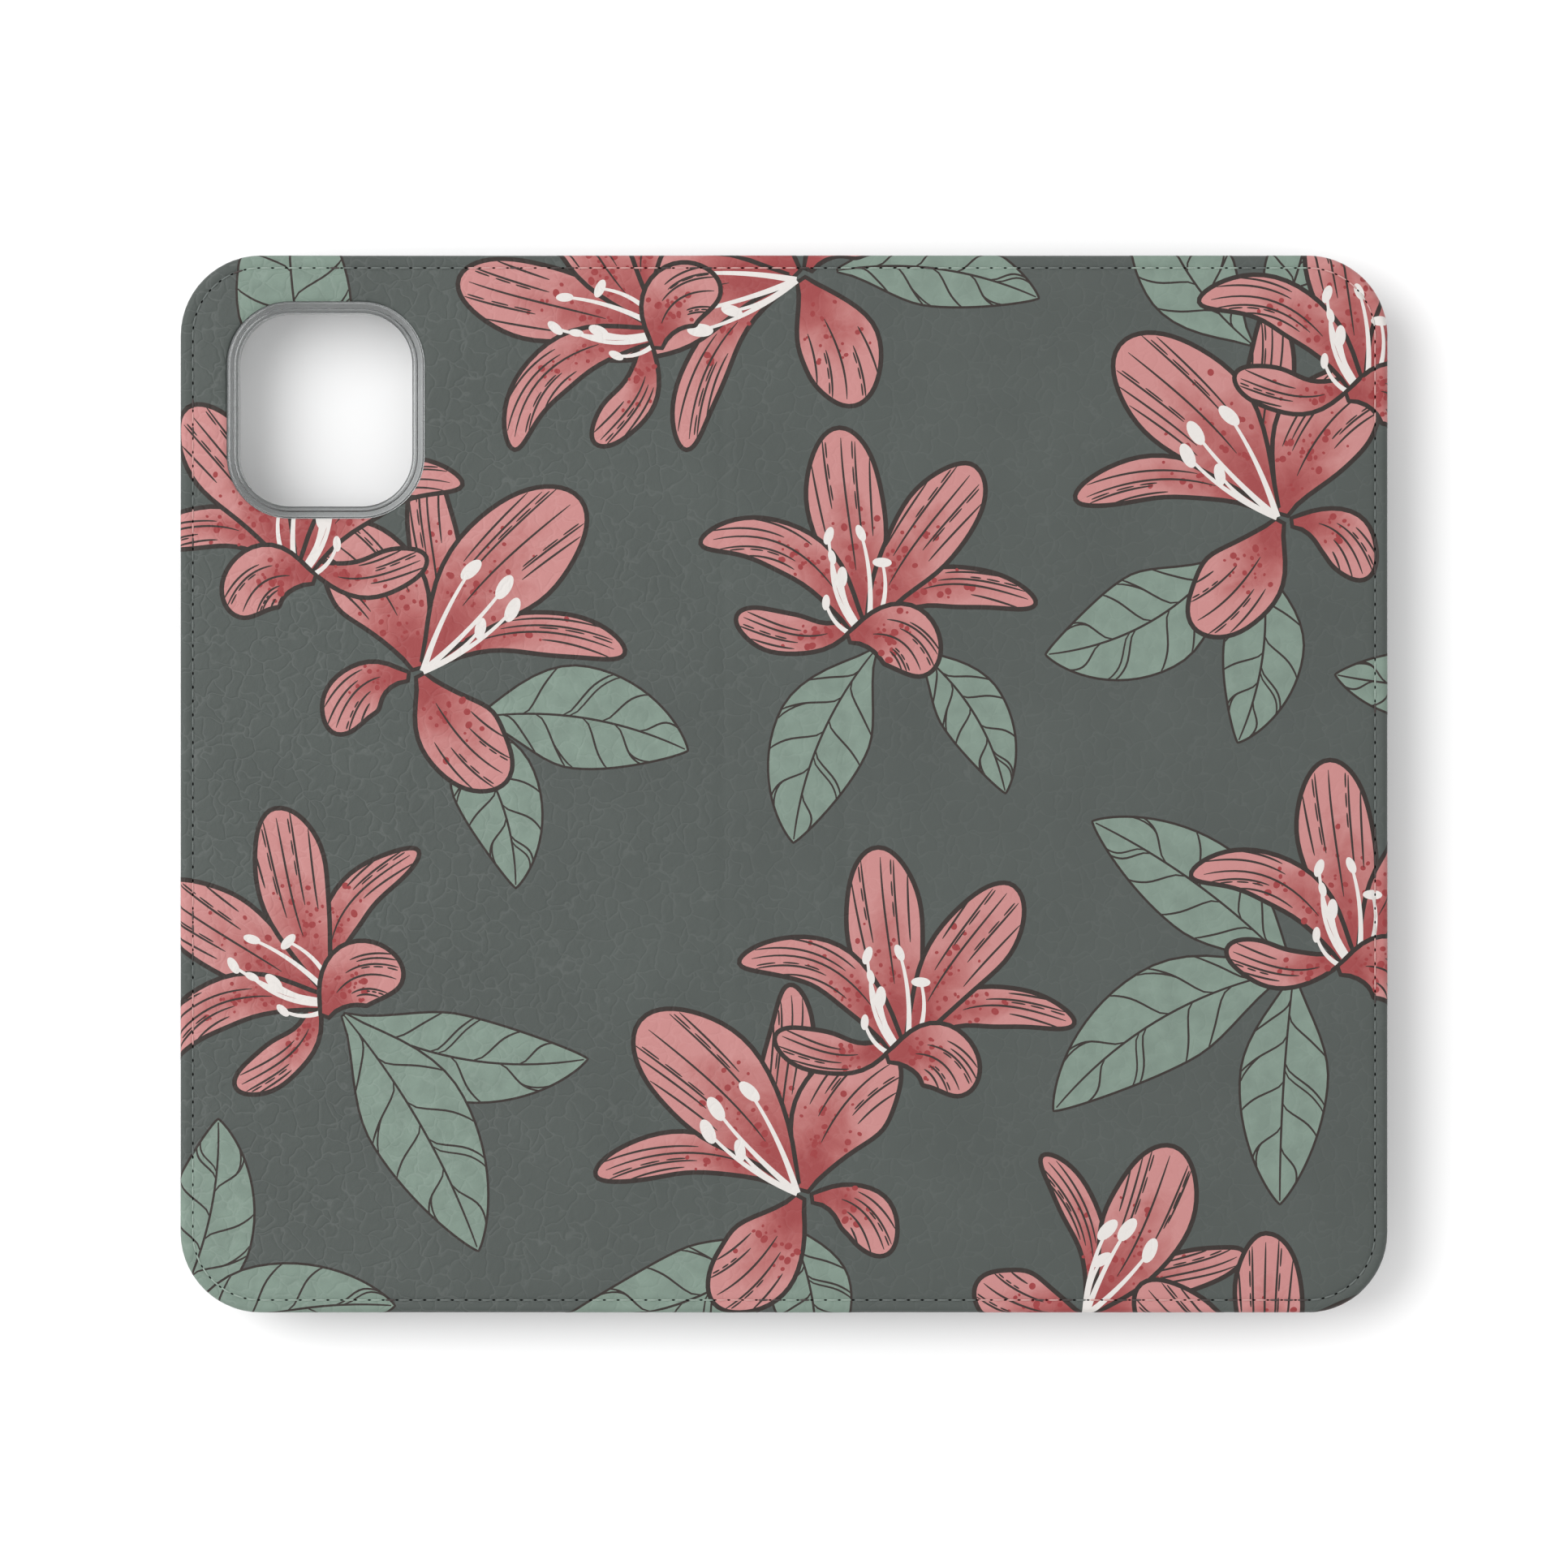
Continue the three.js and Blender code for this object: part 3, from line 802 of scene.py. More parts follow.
def scaled_rgb(rgb, factor):
    return tuple(min(255, c * factor) for c in rgb)


class Look:
    """A material with one Principled shader, built up node by node."""

    def __init__(self, name, rgb, roughness, **sockets):
        self.material = bpy.data.materials.new(name)
        self.material.use_nodes = True
        self.tree = self.material.node_tree
        self.shader = self.tree.nodes["Principled BSDF"]
        self.shader.inputs["Base Color"].default_value = under_light(rgb)
        self.shader.inputs["Roughness"].default_value = roughness
        for socket, value in sockets.items():
            self.shader.inputs[socket.replace("_", " ")].default_value = value

    def feed(self, socket, value):
        """Links another node's output to a socket, or sets a plain value on it."""
        if isinstance(value, bpy.types.NodeSocket):
            self.tree.links.new(value, socket)
        else:
            socket.default_value = value

    def node(self, kind, *values, **named):
        """A node. Values go to its sockets in order, named ones to a socket or else a setting."""
        made = self.tree.nodes.new("ShaderNode" + kind)
        for key, value in named.items():
            socket = key.replace("_", " ")
            if socket in made.inputs:
                self.feed(made.inputs[socket], value)
            else:
                setattr(made, key, value)
        for socket, value in zip(made.inputs, values):
            self.feed(socket, value)
        return made

    def rest_position(self):
        """Where a point lies when the cover is flat, in millimetres."""
        return self.node("Attribute", attribute_name="rest").outputs["Vector"]

    def object_position(self):
        """The same for a CAD node, from its own mesh in metres."""
        own = self.node("TexCoord").outputs["Object"]
        return self.node("VectorMath", own, operation="SCALE", Scale=1 / MM).outputs["Vector"]

    def noise(self, position, scale, detail=3.0, roughness=0.5, distortion=0.0, output="Fac"):
        made = self.node("TexNoise", Vector=position, Scale=scale, Detail=detail, Roughness=roughness,
                         Distortion=distortion)
        return made.outputs[output]

    def maths(self, operation, *values):
        return self.node("Math", *values, operation=operation).outputs[0]

    def map_range(self, value, limits, **settings):
        """Maps a value from one range, low and high, to another."""
        return self.node("MapRange", value, *limits, **settings).outputs["Result"]

    def thin_line(self, distance, width):
        """1 on a line and 0 beyond a width from it."""
        return self.map_range(distance, (0.0, width, 1.0, 0.0), interpolation_type="SMOOTHSTEP")

    def ramp(self, factor, stops):
        """Maps a factor through colour stops of (position, sRGB)."""
        made = self.node("ValToRGB", Fac=factor)
        elements = made.color_ramp.elements
        while len(elements) < len(stops):
            elements.new(0.5)
        for element, (position, rgb) in zip(elements, stops):
            element.position = position
            element.color = under_light(rgb)
        return made.outputs["Color"]

    def paint(self, factor, stops):
        self.feed(self.shader.inputs["Base Color"], self.ramp(factor, stops))

    def bump(self, height, distance_mm, strength=1.0):
        made = self.node("Bump", Strength=strength, Distance=distance_mm * MM, Height=height)
        self.feed(self.shader.inputs["Normal"], made.outputs["Normal"])

    def leather_bump(self, position, depth=1.0):
        """Pebble grain with fine creases, wrinkles and pores, shallower towards the flap.

        Returns how strong the painted highlight along the creases is, fading towards the flap: 0 between
        them."""
        warp = self.noise(position, 0.36, 1.0, output="Color")
        warped = self.node("VectorMath", warp, (GRAIN_WARP,) * 3, position, operation="MULTIPLY_ADD")
        cells = self.node("TexVoronoi", feature="DISTANCE_TO_EDGE", Scale=1 / GRAIN_CELL,
                          Vector=warped.outputs["Vector"])
        to_edge = cells.outputs["Distance"]
        x = self.node("SeparateXYZ", position).outputs["X"]
        fade = self.map_range(x, GRAIN_FADE)
        groove = self.maths("MULTIPLY", self.thin_line(to_edge, 0.14), -0.7)
        wrinkles = self.noise(position, 0.8, 5.0, 0.62, 0.8)
        wrinkled = self.maths("MULTIPLY_ADD", wrinkles, 1.3, groove)
        pores = self.noise(position, 4.5, 2.0)
        height = self.maths("MULTIPLY_ADD", pores, 0.25, wrinkled)
        self.bump(self.maths("MULTIPLY", height, fade), GRAIN_DEPTH * depth)
        # Thin crease lines, broken up and faded: the mask of a painted highlight along the creases.
        broken = self.maths("MULTIPLY", self.noise(position, 0.35, 2.0), 2.0)
        thin = self.maths("MULTIPLY", self.thin_line(to_edge, 0.045), broken)
        return self.maths("MULTIPLY", thin, fade)

    def paint_crease_highlight(self, factor, stops, creases):
        """A colour ramp with a painted highlight: a little lighter along the leather's creases."""
        # Painted highlight: light added to the colour along the creases.
        mix = self.node("Mix", creases, data_type="RGBA", blend_type="ADD")
        self.feed(mix.inputs[6], self.ramp(factor, stops))
        self.feed(mix.inputs[7], (CREASE_HIGHLIGHT_PAINT, CREASE_HIGHLIGHT_PAINT, CREASE_HIGHLIGHT_PAINT, 1.0))
        self.feed(self.shader.inputs["Base Color"], mix.outputs[2])


def make_leather(name, rgb, depth=1.0):
    """Grained synthetic leather: softly mottled, with a painted highlight along its creases."""
    look = Look(name, rgb, 0.58, Specular_IOR_Level=0.3)
    place = look.rest_position()
    creases = look.leather_bump(place, depth)
    stops = [(0.25, scaled_rgb(rgb, 1 - MOTTLE)), (0.75, scaled_rgb(rgb, 1 + MOTTLE))]
    # Mottled colour with a painted highlight along the creases.
    look.paint_crease_highlight(look.noise(place, 0.06, 4.0, 0.6), stops, creases)
    return look.material


def make_ink(name, rgb):
    """A flat printed colour on the leather's grain."""
    look = Look(name, rgb, 0.56, Specular_IOR_Level=0.3)
    look.leather_bump(look.rest_position())
    return look.material


def make_coral_ink():
    """Coral washes that deepen to red towards the foot of each petal."""
    look = Look("ink_coral", CORAL_MID_RGB, 0.56, Specular_IOR_Level=0.3)
    place = look.rest_position()
    creases = look.leather_bump(place)
    tone = look.node("Attribute", attribute_name="tone").outputs["Fac"]
    wash = look.maths("MULTIPLY_ADD", look.noise(place, 0.22, 4.0, 0.55, 0.8), 0.55, tone)
    # Coral wash with a painted highlight along the creases.
    look.paint_crease_highlight(wash, CORAL_STOPS, creases)
    return look.material


def make_sage_ink():
    """Sage with soft clouds."""
    look = Look("ink_sage", SAGE_RGB, 0.56, Specular_IOR_Level=0.3)
    place = look.rest_position()
    creases = look.leather_bump(place)
    stops = [(0.35, scaled_rgb(SAGE_RGB, 0.965)), (0.65, scaled_rgb(SAGE_RGB, 1.03))]
    # Sage with a painted highlight along the creases.
    look.paint_crease_highlight(look.noise(place, 0.3), stops, creases)
    return look.material


def make_thread(name, rgb):
    """Polyester sewing thread: fine twist and a soft sheen."""
    look = Look(name, rgb, 0.55, Sheen_Weight=0.15)
    twist = look.node("TexWave", bands_direction="DIAGONAL", Scale=2.2, Distortion=1.5,
                      Vector=look.rest_position())
    look.bump(twist.outputs["Fac"], 0.02, 0.6)
    return look.material


def make_clear_plastic():
    """Clear polycarbonate with the faint unevenness of a moulding."""
    look = Look("clear_polycarbonate", CLEAR_RGB, 0.04, Transmission_Weight=1.0, IOR=1.585)
    look.bump(look.noise(look.rest_position(), 0.35, 1.0), 0.01, 0.06)
    return look.material


def make_microfibre(name, rgb):
    """Short-napped lining cloth: fine fibres, soft patches and sheen."""
    look = Look(name, rgb, 0.9, Sheen_Weight=0.35, Specular_IOR_Level=0.2)
    place = look.rest_position()
    fibres = look.noise(place, 9.0, 4.0, 0.7)
    nap = look.noise(place, 0.12, 3.0, 0.55, 0.8)
    stops = [(0.5, scaled_rgb(rgb, 0.9)), (0.85, scaled_rgb(rgb, 1.12))]
    look.paint(look.maths("MULTIPLY_ADD", fibres, 0.35, nap), stops)
    look.bump(fibres, 0.05, 0.7)
    return look.material


def make_board():
    """Grey fibreboard with flecks."""
    look = Look("fibreboard", BOARD_RGB, 0.85)
    look.paint(look.noise(look.object_position(), 1.6, 6.0, 0.7), BOARD_STOPS)
    return look.material


def make_bond():
    """Cloudy film of cured adhesive."""
    look = Look("adhesive", BOND_RGB, 0.35)
    look.paint(look.noise(look.object_position(), 0.5), BOND_STOPS)
    return look.material


def make_metal(name, rgb, roughness):
    """Plated metal with rolled streaks."""
    look = Look(name, rgb, roughness, Metallic=1.0)
    streaks = look.node("Mapping", look.object_position(), Scale=(6.0, 0.4, 6.0))
    scratch = look.noise(streaks.outputs["Vector"], 1.0, 4.0, 0.6)
    uneven = look.map_range(scratch, (0.0, 1.0, roughness - 0.08, roughness + 0.12))
    look.feed(look.shader.inputs["Roughness"], uneven)
    return look.material


# ---- skin and print


def boundary_edges(faces):
    """Edges that only one face has, in that face's direction."""
    owned = {edge: True for f in faces for edge in zip(f, (*f[1:], f[0]))}
    return [e for e in owned if (e[1], e[0]) not in owned]


def make_skin(leather):
    """The grained skin of each half, with the camera opening's cut edge."""
    uv, triangles, _ = flat_mesh(Artwork())
    top = surface(uv)
    hole = camera_distance(uv)
    for name, side, first, second in SIDES:
        faces = [tuple(t) for t in triangles[uv[triangles].mean(axis=1)[:, 0] * side > 0]]
        points = [*top]
        if side < 0:
            rim = {}
            for a, b in boundary_edges(faces):
                if abs(hole[a]) > 0.01 or abs(hole[b]) > 0.01:
                    continue
                for i in (a, b):
                    if i not in rim:
                        rim[i] = len(points)
                        points.append([top[i][0], top[i][1], TOP - CUT_EDGE])
                faces += [(b, a, rim[a]), (b, rim[a], rim[b])]
        piece = make_mesh(f"cover_skin_{name}", points, faces, leather)
        bend_over_fold(piece, side, first, second)
        replaced = ("back_skin", "spine_skin") if side < 0 else ("front_skin",)
        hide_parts(*replaced)


def make_print(art, inks):
    """One film of each ink on each half of the cover."""
    uv, triangles, owners = flat_mesh(art)
    film = surface(uv, FILM)
    names = np.array([*art.inks, "leather"])[owners]
    for name, side, first, second in SIDES:
        on_side = uv[triangles].mean(axis=1)[:, 0] * side > 0
        for ink, material in inks.items():
            chosen = on_side & (names == ink)
            keys, faces = {}, []
            # Petals don't share points, because each has its own tone there.
            for triangle, owner in zip(triangles[chosen], owners[chosen]):
                petal = owner if ink == "coral" else 0
                faces.append(tuple(keys.setdefault((petal, i), len(keys)) for i in triangle))
            if not faces:
                continue
            petal_of, point_of = np.array(list(keys)).T
            piece = make_mesh(f"print_{ink}_{name}", film[point_of], faces, material)
            if ink == "coral":
                tones = np.zeros(len(keys))
                for petal in set(petal_of):
                    members = petal_of == petal
                    tones[members] = art.petals[petal].tone(uv[point_of[members]])
                tone = piece.data.attributes.new("tone", "FLOAT", "POINT")
                tone.data.foreach_set("value", tones)
            bend_over_fold(piece, side, first, second)


# ---- sewing


def even_points(path, pitch, closed=True):
    """A fine path's points, its length up to each of them, and needle holes at an even pitch."""
    ends = np.vstack([path, path[:1]]) if closed else path
    lengths = np.concatenate([[0], np.cumsum(np.linalg.norm(np.diff(ends, axis=0), axis=1))])
    count = max(2, 2 * round(lengths[-1] / pitch / 2))
    return ends, lengths, np.linspace(0, lengths[-1], count + 1)


def along_path(ends, lengths, s):
    return np.column_stack([np.interp(s, lengths, ends[:, k]) for k in range(ends.shape[1])])


def stitch(points, faces, centres, radius):
    """Adds one stitch: a thread that rises from a needle hole and dives into the next."""
    first = len(points)
    along = unit(centres[-1] - centres[0])
    across = unit(np.cross(along, (0, 0, 1.0)))
    upward = np.cross(across, along)
    rings = []
    for k, centre in enumerate(centres):
        t = k / (STITCH_RINGS - 1)
        r = radius * (0.45 + 0.55 * math.sqrt(max(0, 1 - (2 * t - 1) ** 2)))
        turns = [2 * math.pi * j / STITCH_SIDES for j in range(STITCH_SIDES)]
        rings.append([centre + r * (math.cos(a) * across + math.sin(a) * upward) for a in turns])
    loft(points, faces, rings)
    faces.append(tuple(first + j for j in reversed(range(STITCH_SIDES))))
    last = first + (STITCH_RINGS - 1) * STITCH_SIDES
    faces.append(tuple(last + j for j in range(STITCH_SIDES)))


def seam_path():
    """The cover's seam line, starting at the middle of its top edge."""
    half, corner = HALF - SEAM_INSET, CORNER - SEAM_INSET
    loop = rounded_loop(half, corner, step=0.5, arc_steps=60)
    start = int(np.argmin(np.hypot(loop[:, 0], loop[:, 1] - half[1])))
    loop = np.roll(loop, -start, axis=0)
    loop[0] = (0.0, half[1])
    return loop


def ink_at(art, point):
    """The last outline painted over a point."""
    for outline, ink in zip(reversed(art.outlines), reversed(art.inks)):
        if np.all(np.abs(outline.mean(axis=0) - point) < 45) and inside(outline, point):
            return ink
    return "leather"


def inside(outline, point):
    x, y = outline[:, 0] - point[0], outline[:, 1] - point[1]
    x2, y2 = np.roll(x, -1), np.roll(y, -1)
    crosses = (y > 0) != (y2 > 0)
    with np.errstate(divide="ignore", invalid="ignore"):
        at = x + (x2 - x) * (-y) / (y2 - y)
    return bool(np.count_nonzero(crosses & (at > 0)) % 2)


def needle_hole_shade(middle, along, side):
    """The edge of one dark disc of painted shade over a needle hole, cut off at the spine's middle line."""
    turn = np.linspace(0, 2 * math.pi, 9)[:-1]
    long, wide = NEEDLE_HOLE
    uv = np.array([middle + long * math.cos(a) * along + wide * math.sin(a) * quarter_left(along)
                   for a in turn])
    uv[:, 0] = np.maximum(uv[:, 0] * side, 0) * side
    return surface(uv, FILM + 0.012)


def make_cover_sewing(art, threads, hole_shade_material):
    """The seam round the cover. The print was made after sewing, so thread takes the ink's colour."""
    ends, lengths, holes = even_points(seam_path(), STITCH_PITCH)
    groups = {(name, thread): ([], []) for name, *_ in SIDES for thread in threads}
    rise = np.column_stack([np.zeros((STITCH_RINGS, 2)), STITCH_RISE])
    for start, end in zip(holes[:-1], holes[1:]):
        uv = along_path(ends, lengths, np.linspace(start + 0.16, end - 0.16, STITCH_RINGS))
        name = "back" if uv[:, 0].mean() < 0 else "front"
        thread = THREAD_OF_INK[ink_at(art, uv[STITCH_RINGS // 2])]
        stitch(*groups[(name, thread)], surface(uv) + rise, STITCH_RADIUS)
    for name, side, first, second in SIDES:
        for thread, material in threads.items():
            points, faces = groups[(name, thread)]
            if not faces:
                continue
            piece = make_mesh(f"seam_{thread}_{name}", points, faces, material)
            bend_over_fold(piece, side, first, second)
            if thread == "grey":
                ends_of = ("back_thread", "spine_thread_top", "spine_thread_bottom")
                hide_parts(*(ends_of if side < 0 else ("front_thread",)))
        # Dark discs of painted shade over the needle holes, just above the print.
        points, faces = [], []
        for s in holes[:-1]:
            middle, ahead = along_path(ends, lengths, [s, s + 0.2])
            if middle[0] * side >= -0.01:
                faces.append(tuple(range(len(points), len(points) + 8)))
                points.extend(needle_hole_shade(middle, unit(ahead - middle), side))
        piece = make_mesh(f"needle_hole_shades_{name}", points, faces, hole_shade_material)
        bend_over_fold(piece, side, first, second)


# ---- clear tray


def fill_between(points, faces, outer, inner, z):
    """A flat face between two rings."""
    cutting = Cutting()
    for ring in (outer, inner):
        cutting.ring(ring[:, :2])
    flat, triangles, _, faces_over = cutting.cut()
    first = len(points)
    points.extend((x, y, z) for x, y in flat)
    faces.extend(tuple(first + i for i in f) for f, over in zip(triangles, faces_over) if over == [0])


def make_clear_tray(clear):
    """The snap-in tray: thin walls, a floor bonded to the cover, and a collar round the cameras."""
    middle = (TRAY_LOW[:2] + TRAY_HIGH[:2]) / 2
    half = (TRAY_HIGH[:2] - TRAY_LOW[:2]) / 2
    top = TRAY_HIGH[2]
    turns = [math.radians(a) for a in range(0, 91, 18)]

    def level(half, corner, middle, inset, z):
        loop = rounded_loop(half - inset, corner - inset, middle, arc_steps=18, straight_steps=10)
        return np.column_stack([loop, np.full(len(loop), z)])

    def wall(inset, z):
        return level(half, TRAY_CORNER, middle, inset, z)

    def collar(inset, z):
        return level(CAMERA_HALF - COLLAR_GAP, CAMERA_CORNER - COLLAR_GAP, CAMERA_MIDDLE, inset, z)

    rim, edge, fillet = TRAY_WALL / 2, TRAY_EDGE, TRAY_FILLET
    outer = [wall(rim - rim * math.sin(a), rim - rim * math.cos(a)) for a in turns]
    outer += [wall(0, z) for z in TRAY_LEVELS]
    outer += [wall(edge - edge * math.cos(a), TRAY_FLOOR_TOP - edge + edge * math.sin(a)) for a in turns]
    inner = [wall(rim + rim * math.sin(a), rim - rim * math.cos(a)) for a in turns]
    inner += [wall(TRAY_WALL, z) for z in TRAY_LEVELS]
    inner += [wall(TRAY_WALL + fillet * (1 - math.cos(a)), TRAY_FLOOR_LOW - fillet + fillet * math.sin(a))
              for a in turns]
    # The collar's outside steps in to a lip that stands round the opening.
    foot, bevel, lip, shoulder = COLLAR_FOOT, COLLAR_EDGE, COLLAR_LIP, top - COLLAR_LIP
    outside = [collar(-foot * (1 - math.sin(a)), TRAY_FLOOR_TOP + foot * (1 - math.cos(a))) for a in turns]
    outside += [collar(0, shoulder - 1.0)]
    outside += [collar(bevel * (1 - math.cos(a)), shoulder - bevel * (1 - math.sin(a))) for a in turns]
    outside += [collar(COLLAR_WALL - 2 * lip - 0.05, shoulder)]
    outside += [collar(COLLAR_WALL - lip * (1 + math.cos(a)), top - lip * (1 - math.sin(a)))
                for a in turns]
    inside_rings = [collar(COLLAR_WALL, z) for z in (TRAY_FLOOR_LOW, TRAY_FLOOR_LOW + 1.6, top - 1.0)]
    inside_rings += [collar(COLLAR_WALL - lip * (1 - math.cos(a)), top - lip * (1 - math.sin(a)))
                     for a in turns]
    points, faces = [], []
    for rings in (outer, inner, outside, inside_rings):
        loft(points, faces, rings)
    fill_between(points, faces, outer[-1], outside[0], TRAY_FLOOR_TOP)
    fill_between(points, faces, inner[-1], inside_rings[0], TRAY_FLOOR_LOW)
    piece = make_mesh("clear_tray", points, faces)
    weld(piece)
    cut_windows(piece, middle, half)
    keep_rest(piece)
    piece.data.materials.clear()
    piece.data.materials.append(clear)
    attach(piece, "back_cover")
    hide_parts("phone_tray")


def cut_windows(piece, middle, half):
    """Openings in the walls for the side buttons and the port."""
    for axis, side, start, end in WINDOWS:
        size = ((end - start) / 2, (WINDOW_HIGH - WINDOW_LOW) / 2)
        centre = ((start + end) / 2, (WINDOW_LOW + WINDOW_HIGH) / 2)
        loop = rounded_loop(size, WINDOW_CORNER, centre, arc_steps=10, straight_steps=2)
        wall_at = middle[axis] + side * half[axis]
        rings = []
        for across in (wall_at - WINDOW_REACH, wall_at + WINDOW_REACH):
            rings.append([(p[0], across, p[1]) if axis else (across, p[0], p[1]) for p in loop])
        points, faces = [], []
        loft(points, faces, rings)
        count = len(loop)
        faces.append(tuple(reversed(range(count))))
        faces.append(tuple(range(count, 2 * count)))
        cutter = make_mesh("window_cutter", points, faces, smooth_shading=False)
        weld(cutter)
        cut = piece.modifiers.new("window", "BOOLEAN")
        cut.operation, cut.solver, cut.object = "DIFFERENCE", "EXACT", cutter
        depsgraph = bpy.context.evaluated_depsgraph_get()
        result = bpy.data.meshes.new_from_object(piece.evaluated_get(depsgraph))
        piece.modifiers.clear()
        piece.data = result
        bpy.data.objects.remove(cutter)
    piece.data.polygons.foreach_set("use_smooth", [True] * len(piece.data.polygons))
    sharpen(piece, 35)


# ---- lining and pockets


def soft_sheet(name, outline, low, high, material, holes=(), lines=(), edge=0.2, spacing=8.0):
    """A closed sheet between two heights, with rounded edges. Heights are functions of the points."""
    cutting = Cutting()
    shares = {}  # how far each contour point is up the rounded edge: 0 at the outline, 1 inside

    def add(loop, share, as_face):
        shares.update(dict.fromkeys(cutting.ring(loop, as_face), share))

    add(outline, 0.0, True)
    for hole in holes:
        add(hole, 0.0, True)
    for share in (0.12, 0.3, 0.6, 1.0):
        add(grown(outline, -edge * share), share, False)
        for hole in holes:
            add(grown(hole, edge * share), share, False)
    box_low, box_high = outline.min(axis=0), outline.max(axis=0)
    for x in lines:
        if box_low[0] < x < box_high[0]:
            cutting.line(x, box_low[1] - 1, box_high[1] + 1, 40)
    for x in np.arange(box_low[0], box_high[0], spacing):
        for y in np.arange(box_low[1], box_high[1], spacing):
            cutting.points.append([x + spacing / 2, y + spacing / 2])
    flat, triangles, numbers, faces_over = cutting.cut()
    keep = np.array([tuple(f) for f, over in zip(triangles, faces_over) if over == [0]])
    up = np.array([next((shares[i] for i in own if i in shares), 1.0) for own in numbers])
    bulge = np.sqrt(np.clip(1 - (1 - up) ** 2, 0, 1))
    z_low, z_high = low(flat), high(flat)
    middle = (z_low + z_high) / 2
    upper = middle + (z_high - middle) * bulge
    lower = middle + (z_low - middle) * bulge
    solid = [*np.column_stack([flat, upper]), *np.column_stack([flat, lower])]
    faces = [tuple(t) for t in wound_up(flat, keep)]
    faces += [tuple(i + len(flat) for i in reversed(f)) for f in faces]
    piece = make_mesh(name, solid, faces, material)
    weld(piece, 1e-7)
    keep_rest(piece)
    return piece


def lining_low(flat):
    """The lining's lower face: level on the panels, drawn up into the folds, level on the spine."""
    fold, spine = TOP - FOLD_THICKNESS - 0.1, TOP - SPINE_THICKNESS
    return by_fold(flat[:, 0], LINING_LOW[2], fold, spine, 1.3, 2.2)


def lining_high(flat):
    return np.minimum(lining_low(flat) + LINING, TOP - LINING_CLEAR)


def make_linings(microfibre):
    """Microfibre lining of each half, which meets its twin in the middle of the spine."""
    inset = LINING_LOW[0] - SKIN_LOW[0]
    half = HALF - inset
    loop = rounded_loop(half, CORNER - inset)
    rows = np.arange(-BEND - 1, BEND + 1.01, BEND_STEP)
    for name, side, first, second in SIDES:
        # The half outline runs anticlockwise from the spine's middle and back to it.
        outline = loop[loop[:, 0] * side > 0]
        order = np.argsort(np.arctan2(outline[:, 1] * side, outline[:, 0] * side))
        outline = np.vstack([[0, -side * half[1]], outline[order], [0, side * half[1]]])
        seam = [(0, y) for y in np.linspace(side * half[1], -side * half[1], 30)[1:-1]]
        holes = (camera_loop(0.15),) if side < 0 else ()
        piece = soft_sheet(f"lining_{name}", np.vstack([outline, seam]), lining_low, lining_high,
                           microfibre, holes, side * FOLD_X + rows, edge=0.22)
        bend_over_fold(piece, side, first, second)
        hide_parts(*(("back_lining", "spine_lining") if side < 0 else ("front_lining",)))


def pocket_outline(low, high, notch):
    """A pocket's outline, with a thumb notch in its mouth at the top."""
    x0, y0, x1, y1 = low[0], low[1], high[0], high[1]
    corner, small = POCKET_CORNER, MOUTH_CORNER
    middle = (x0 + x1) / 2
    points = arc(x0 + corner, y0 + corner, corner, 180, 270, 10)
    points += arc(x1 - corner, y0 + corner, corner, 270, 360, 10)
    points += [(x1, y) for y in np.linspace(y0 + corner, y1, 16)[1:-1]]
    points += arc(x1 - small, y1 - small, small, 0, 90, 30)
    for x in np.linspace(x1 - small, x0 + small, 42)[1:-1]:
        dip = notch * math.exp(-(((x - middle) / (1.5 * notch)) ** 2)) if notch else 0.0
        points.append((x, y1 - dip))
    points += arc(x0 + small, y1 - small, small, 90, 180, 30)
    points += [(x0, y) for y in np.linspace(y1, y0 + corner, 16)[1:-1]]
    return np.array(points)


def thread_row(name, path, z, material, replaced=()):
    """Stitches on the underside of the flap, along a path seen from above."""
    ends, lengths, holes = even_points(np.asarray(path, float), POCKET_PITCH, closed=False)
    points, faces = [], []
    for start, end in zip(holes[:-1], holes[1:]):
        flat = along_path(ends, lengths, np.linspace(start + 0.2, end - 0.2, STITCH_RINGS))
        centres = np.column_stack([flat, z + np.array(POCKET_STITCH_RISE)])
        stitch(points, faces, centres, POCKET_STITCH_RADIUS)
    piece = make_mesh(name, points, faces, material)
    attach(piece, "front_flap")
    if replaced:
        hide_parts(*replaced)


def make_pocket(node_name, notch, leather, thread):
    """One pocket sheet, with a sewn hem along its mouth if it has a thumb notch."""
    low, high = box_mm(node_name)

    def under(flat):
        hem = bump_at(high[1] - flat[:, 1] - HEM, 0.08, 0.35)
        return np.full(len(flat), low[2] + POCKET_SKIN) + hem

    def over(flat):
        return np.full(len(flat), high[2] - POCKET_SKIN)

    outline = pocket_outline(low, high, notch)
    piece = soft_sheet(f"{node_name}_leather", outline, under, over, leather, edge=0.18, spacing=5.0)
    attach(piece, "front_flap")
    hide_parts(node_name)
    if notch:
        hem_line = [p for p in grown(outline, -HEM) if p[1] > high[1] - HEM - notch - 0.2]
        hem_line = sorted((p for p in hem_line if low[0] + 3 < p[0] < high[0] - 3), key=lambda p: p[0])
        thread_row(f"{node_name}_hem_thread", hem_line, low[2] - POCKET_SKIN, thread)


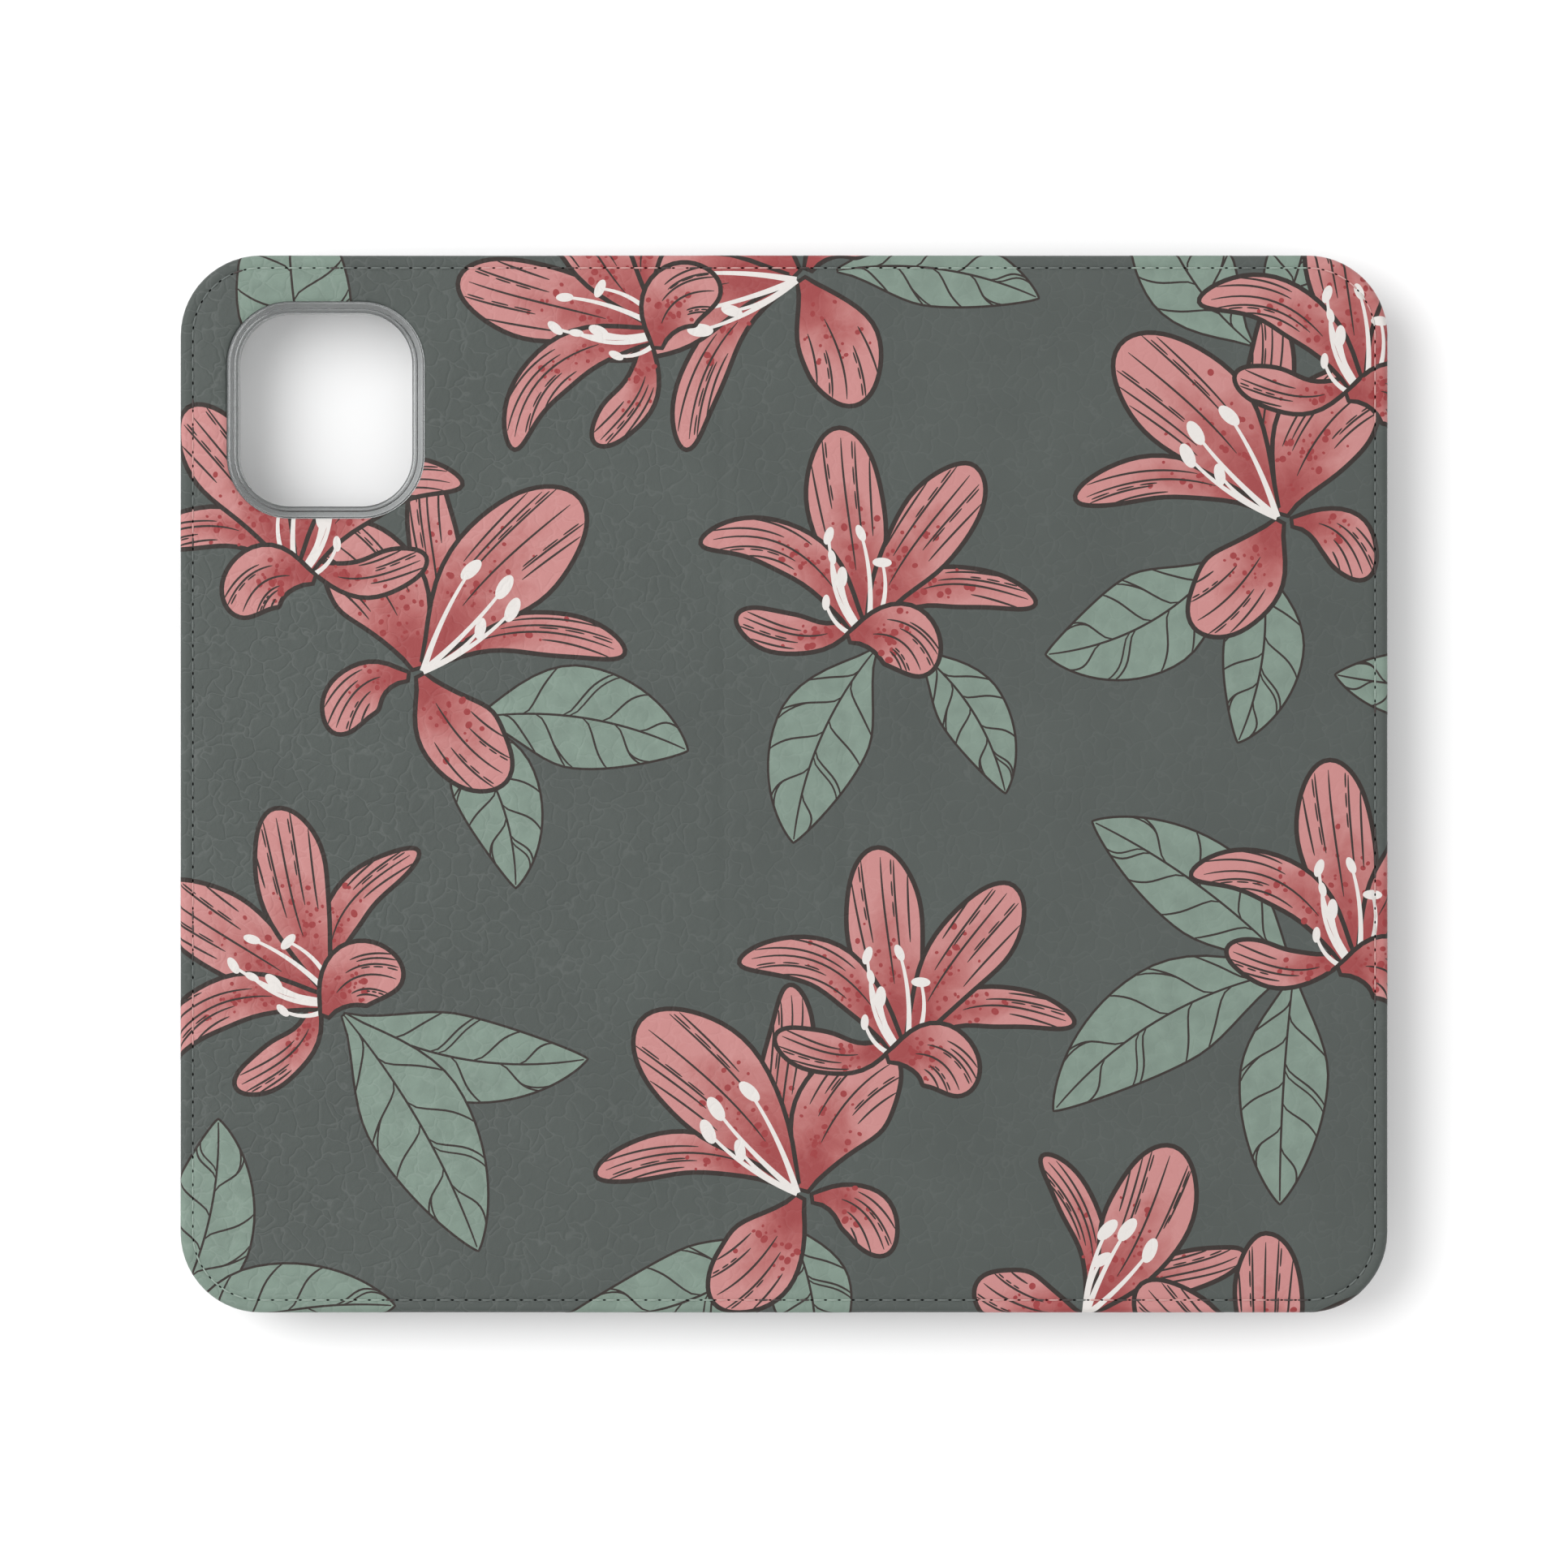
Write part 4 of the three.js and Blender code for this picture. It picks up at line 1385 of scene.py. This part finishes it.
def make_pockets(leather, thread):
    """A full-height cash pocket with three staggered card pockets sewn on it."""
    make_pocket("cash_pocket", 0.0, leather, thread)
    for place in ("upper", "middle", "lower"):
        make_pocket(f"card_pocket_{place}", THUMB_NOTCH, leather, thread)
    for node_name, pocket in (("cash_thread", "cash_pocket"), ("card_thread", "card_pocket_lower")):
        low, high = box_mm(node_name)
        x0, y0 = low[:2] + 0.3
        x1, y1 = high[:2] - 0.3
        path = [(x0, y) for y in np.linspace(y1, y0, 80)]
        path += [(x, y0) for x in np.linspace(x0, x1, 60)[1:]]
        path += [(x1, y) for y in np.linspace(y0, y1, 80)[1:]]
        surface_z = box_mm(pocket)[0][2]
        thread_row(f"{node_name}_stitches", path, surface_z - POCKET_SKIN, thread, (node_name,))


# ---- CAD nodes that stay


def finish_cad_nodes():
    """Materials for the CAD nodes inside the case, chosen by a word in their names."""
    chosen = {
        "board": make_board(),
        "keeper": make_metal("plated_steel", STEEL_RGB, 0.34),
        "magnet": make_metal("nickel", NICKEL_RGB, 0.24),
        "bond": make_bond(),
    }
    for name, cad in frame["nodes"].items():
        for word, material in chosen.items():
            if word in name:
                cad.data.materials.clear()
                cad.data.materials.append(material)


# ---- camera, light and floor


def set_stage():
    scene = bpy.context.scene
    scene.view_settings.view_transform = "Standard"
    camera_data = bpy.data.cameras.new("camera")
    camera_data.lens = LENS
    camera_data.sensor_width = SENSOR
    camera_data.clip_start = 0.05
    camera = bpy.data.objects.new("camera", camera_data)
    camera.location = (0, 0, TOP * MM + VIEW_WIDTH * LENS / SENSOR)
    scene.collection.objects.link(camera)
    scene.camera = camera

    world = bpy.data.worlds.new("studio")
    world.use_nodes = True
    background = world.node_tree.nodes["Background"]
    background.inputs["Color"].default_value = (1.0, 1.0, 1.0, 1)
    background.inputs["Strength"].default_value = WORLD_STRENGTH
    scene.world = world

    key_data = bpy.data.lights.new("soft_box", "AREA")
    key_data.shape = "DISK"
    key_data.size = SOFT_BOX_SIZE
    key_data.energy = SOFT_BOX_ENERGY
    key = bpy.data.objects.new("soft_box", key_data)
    key.location = SOFT_BOX_AT
    key.rotation_euler = (-key.location).to_track_quat("-Z", "Y").to_euler()
    key.visible_camera = False
    scene.collection.objects.link(key)

    floor_mesh = bpy.data.meshes.new("floor")
    corners = [(x * FLOOR_HALF, y * FLOOR_HALF, 0) for x, y in ((-1, -1), (1, -1), (1, 1), (-1, 1))]
    floor_mesh.from_pydata(corners, [], [(0, 1, 2, 3)])
    floor = bpy.data.objects.new("floor", floor_mesh)
    scene.collection.objects.link(floor)
    paint = Look("floor", WHITE_RGB, 0.9, Specular_IOR_Level=0.0)
    paint.shader.inputs["Base Color"].default_value = (FLOOR_SHADE, FLOOR_SHADE, FLOOR_SHADE, 1)
    floor_mesh.materials.append(paint.material)


# ---- the whole object


def build():
    art = draw_print()
    make_skin(make_leather("printed_leather", LEATHER_RGB))
    inks = {
        "coral": make_coral_ink(),
        "sage": make_sage_ink(),
        "line": make_ink("ink_line", LINE_RGB),
        "freckle": make_ink("ink_freckle", FRECKLE_RGB),
        "white": make_ink("ink_white", WHITE_RGB),
    }
    make_print(art, inks)
    threads = {name: make_thread(f"thread_{name}", rgb) for name, rgb in THREAD_RGB.items()}
    # Painted shade inside the needle holes, as dark discs.
    hole = Look("needle_hole_shade", HOLE_SHADE_RGB, 0.9, Specular_IOR_Level=0.0)
    make_cover_sewing(art, threads, hole.material)
    make_clear_tray(make_clear_plastic())
    make_linings(make_microfibre("lining_microfibre", MICROFIBRE_RGB))
    pocket_leather = make_leather("pocket_leather", POCKET_RGB, depth=0.7)
    make_pockets(pocket_leather, make_thread("pocket_thread", POCKET_THREAD_RGB))
    finish_cad_nodes()
    set_stage()


build()
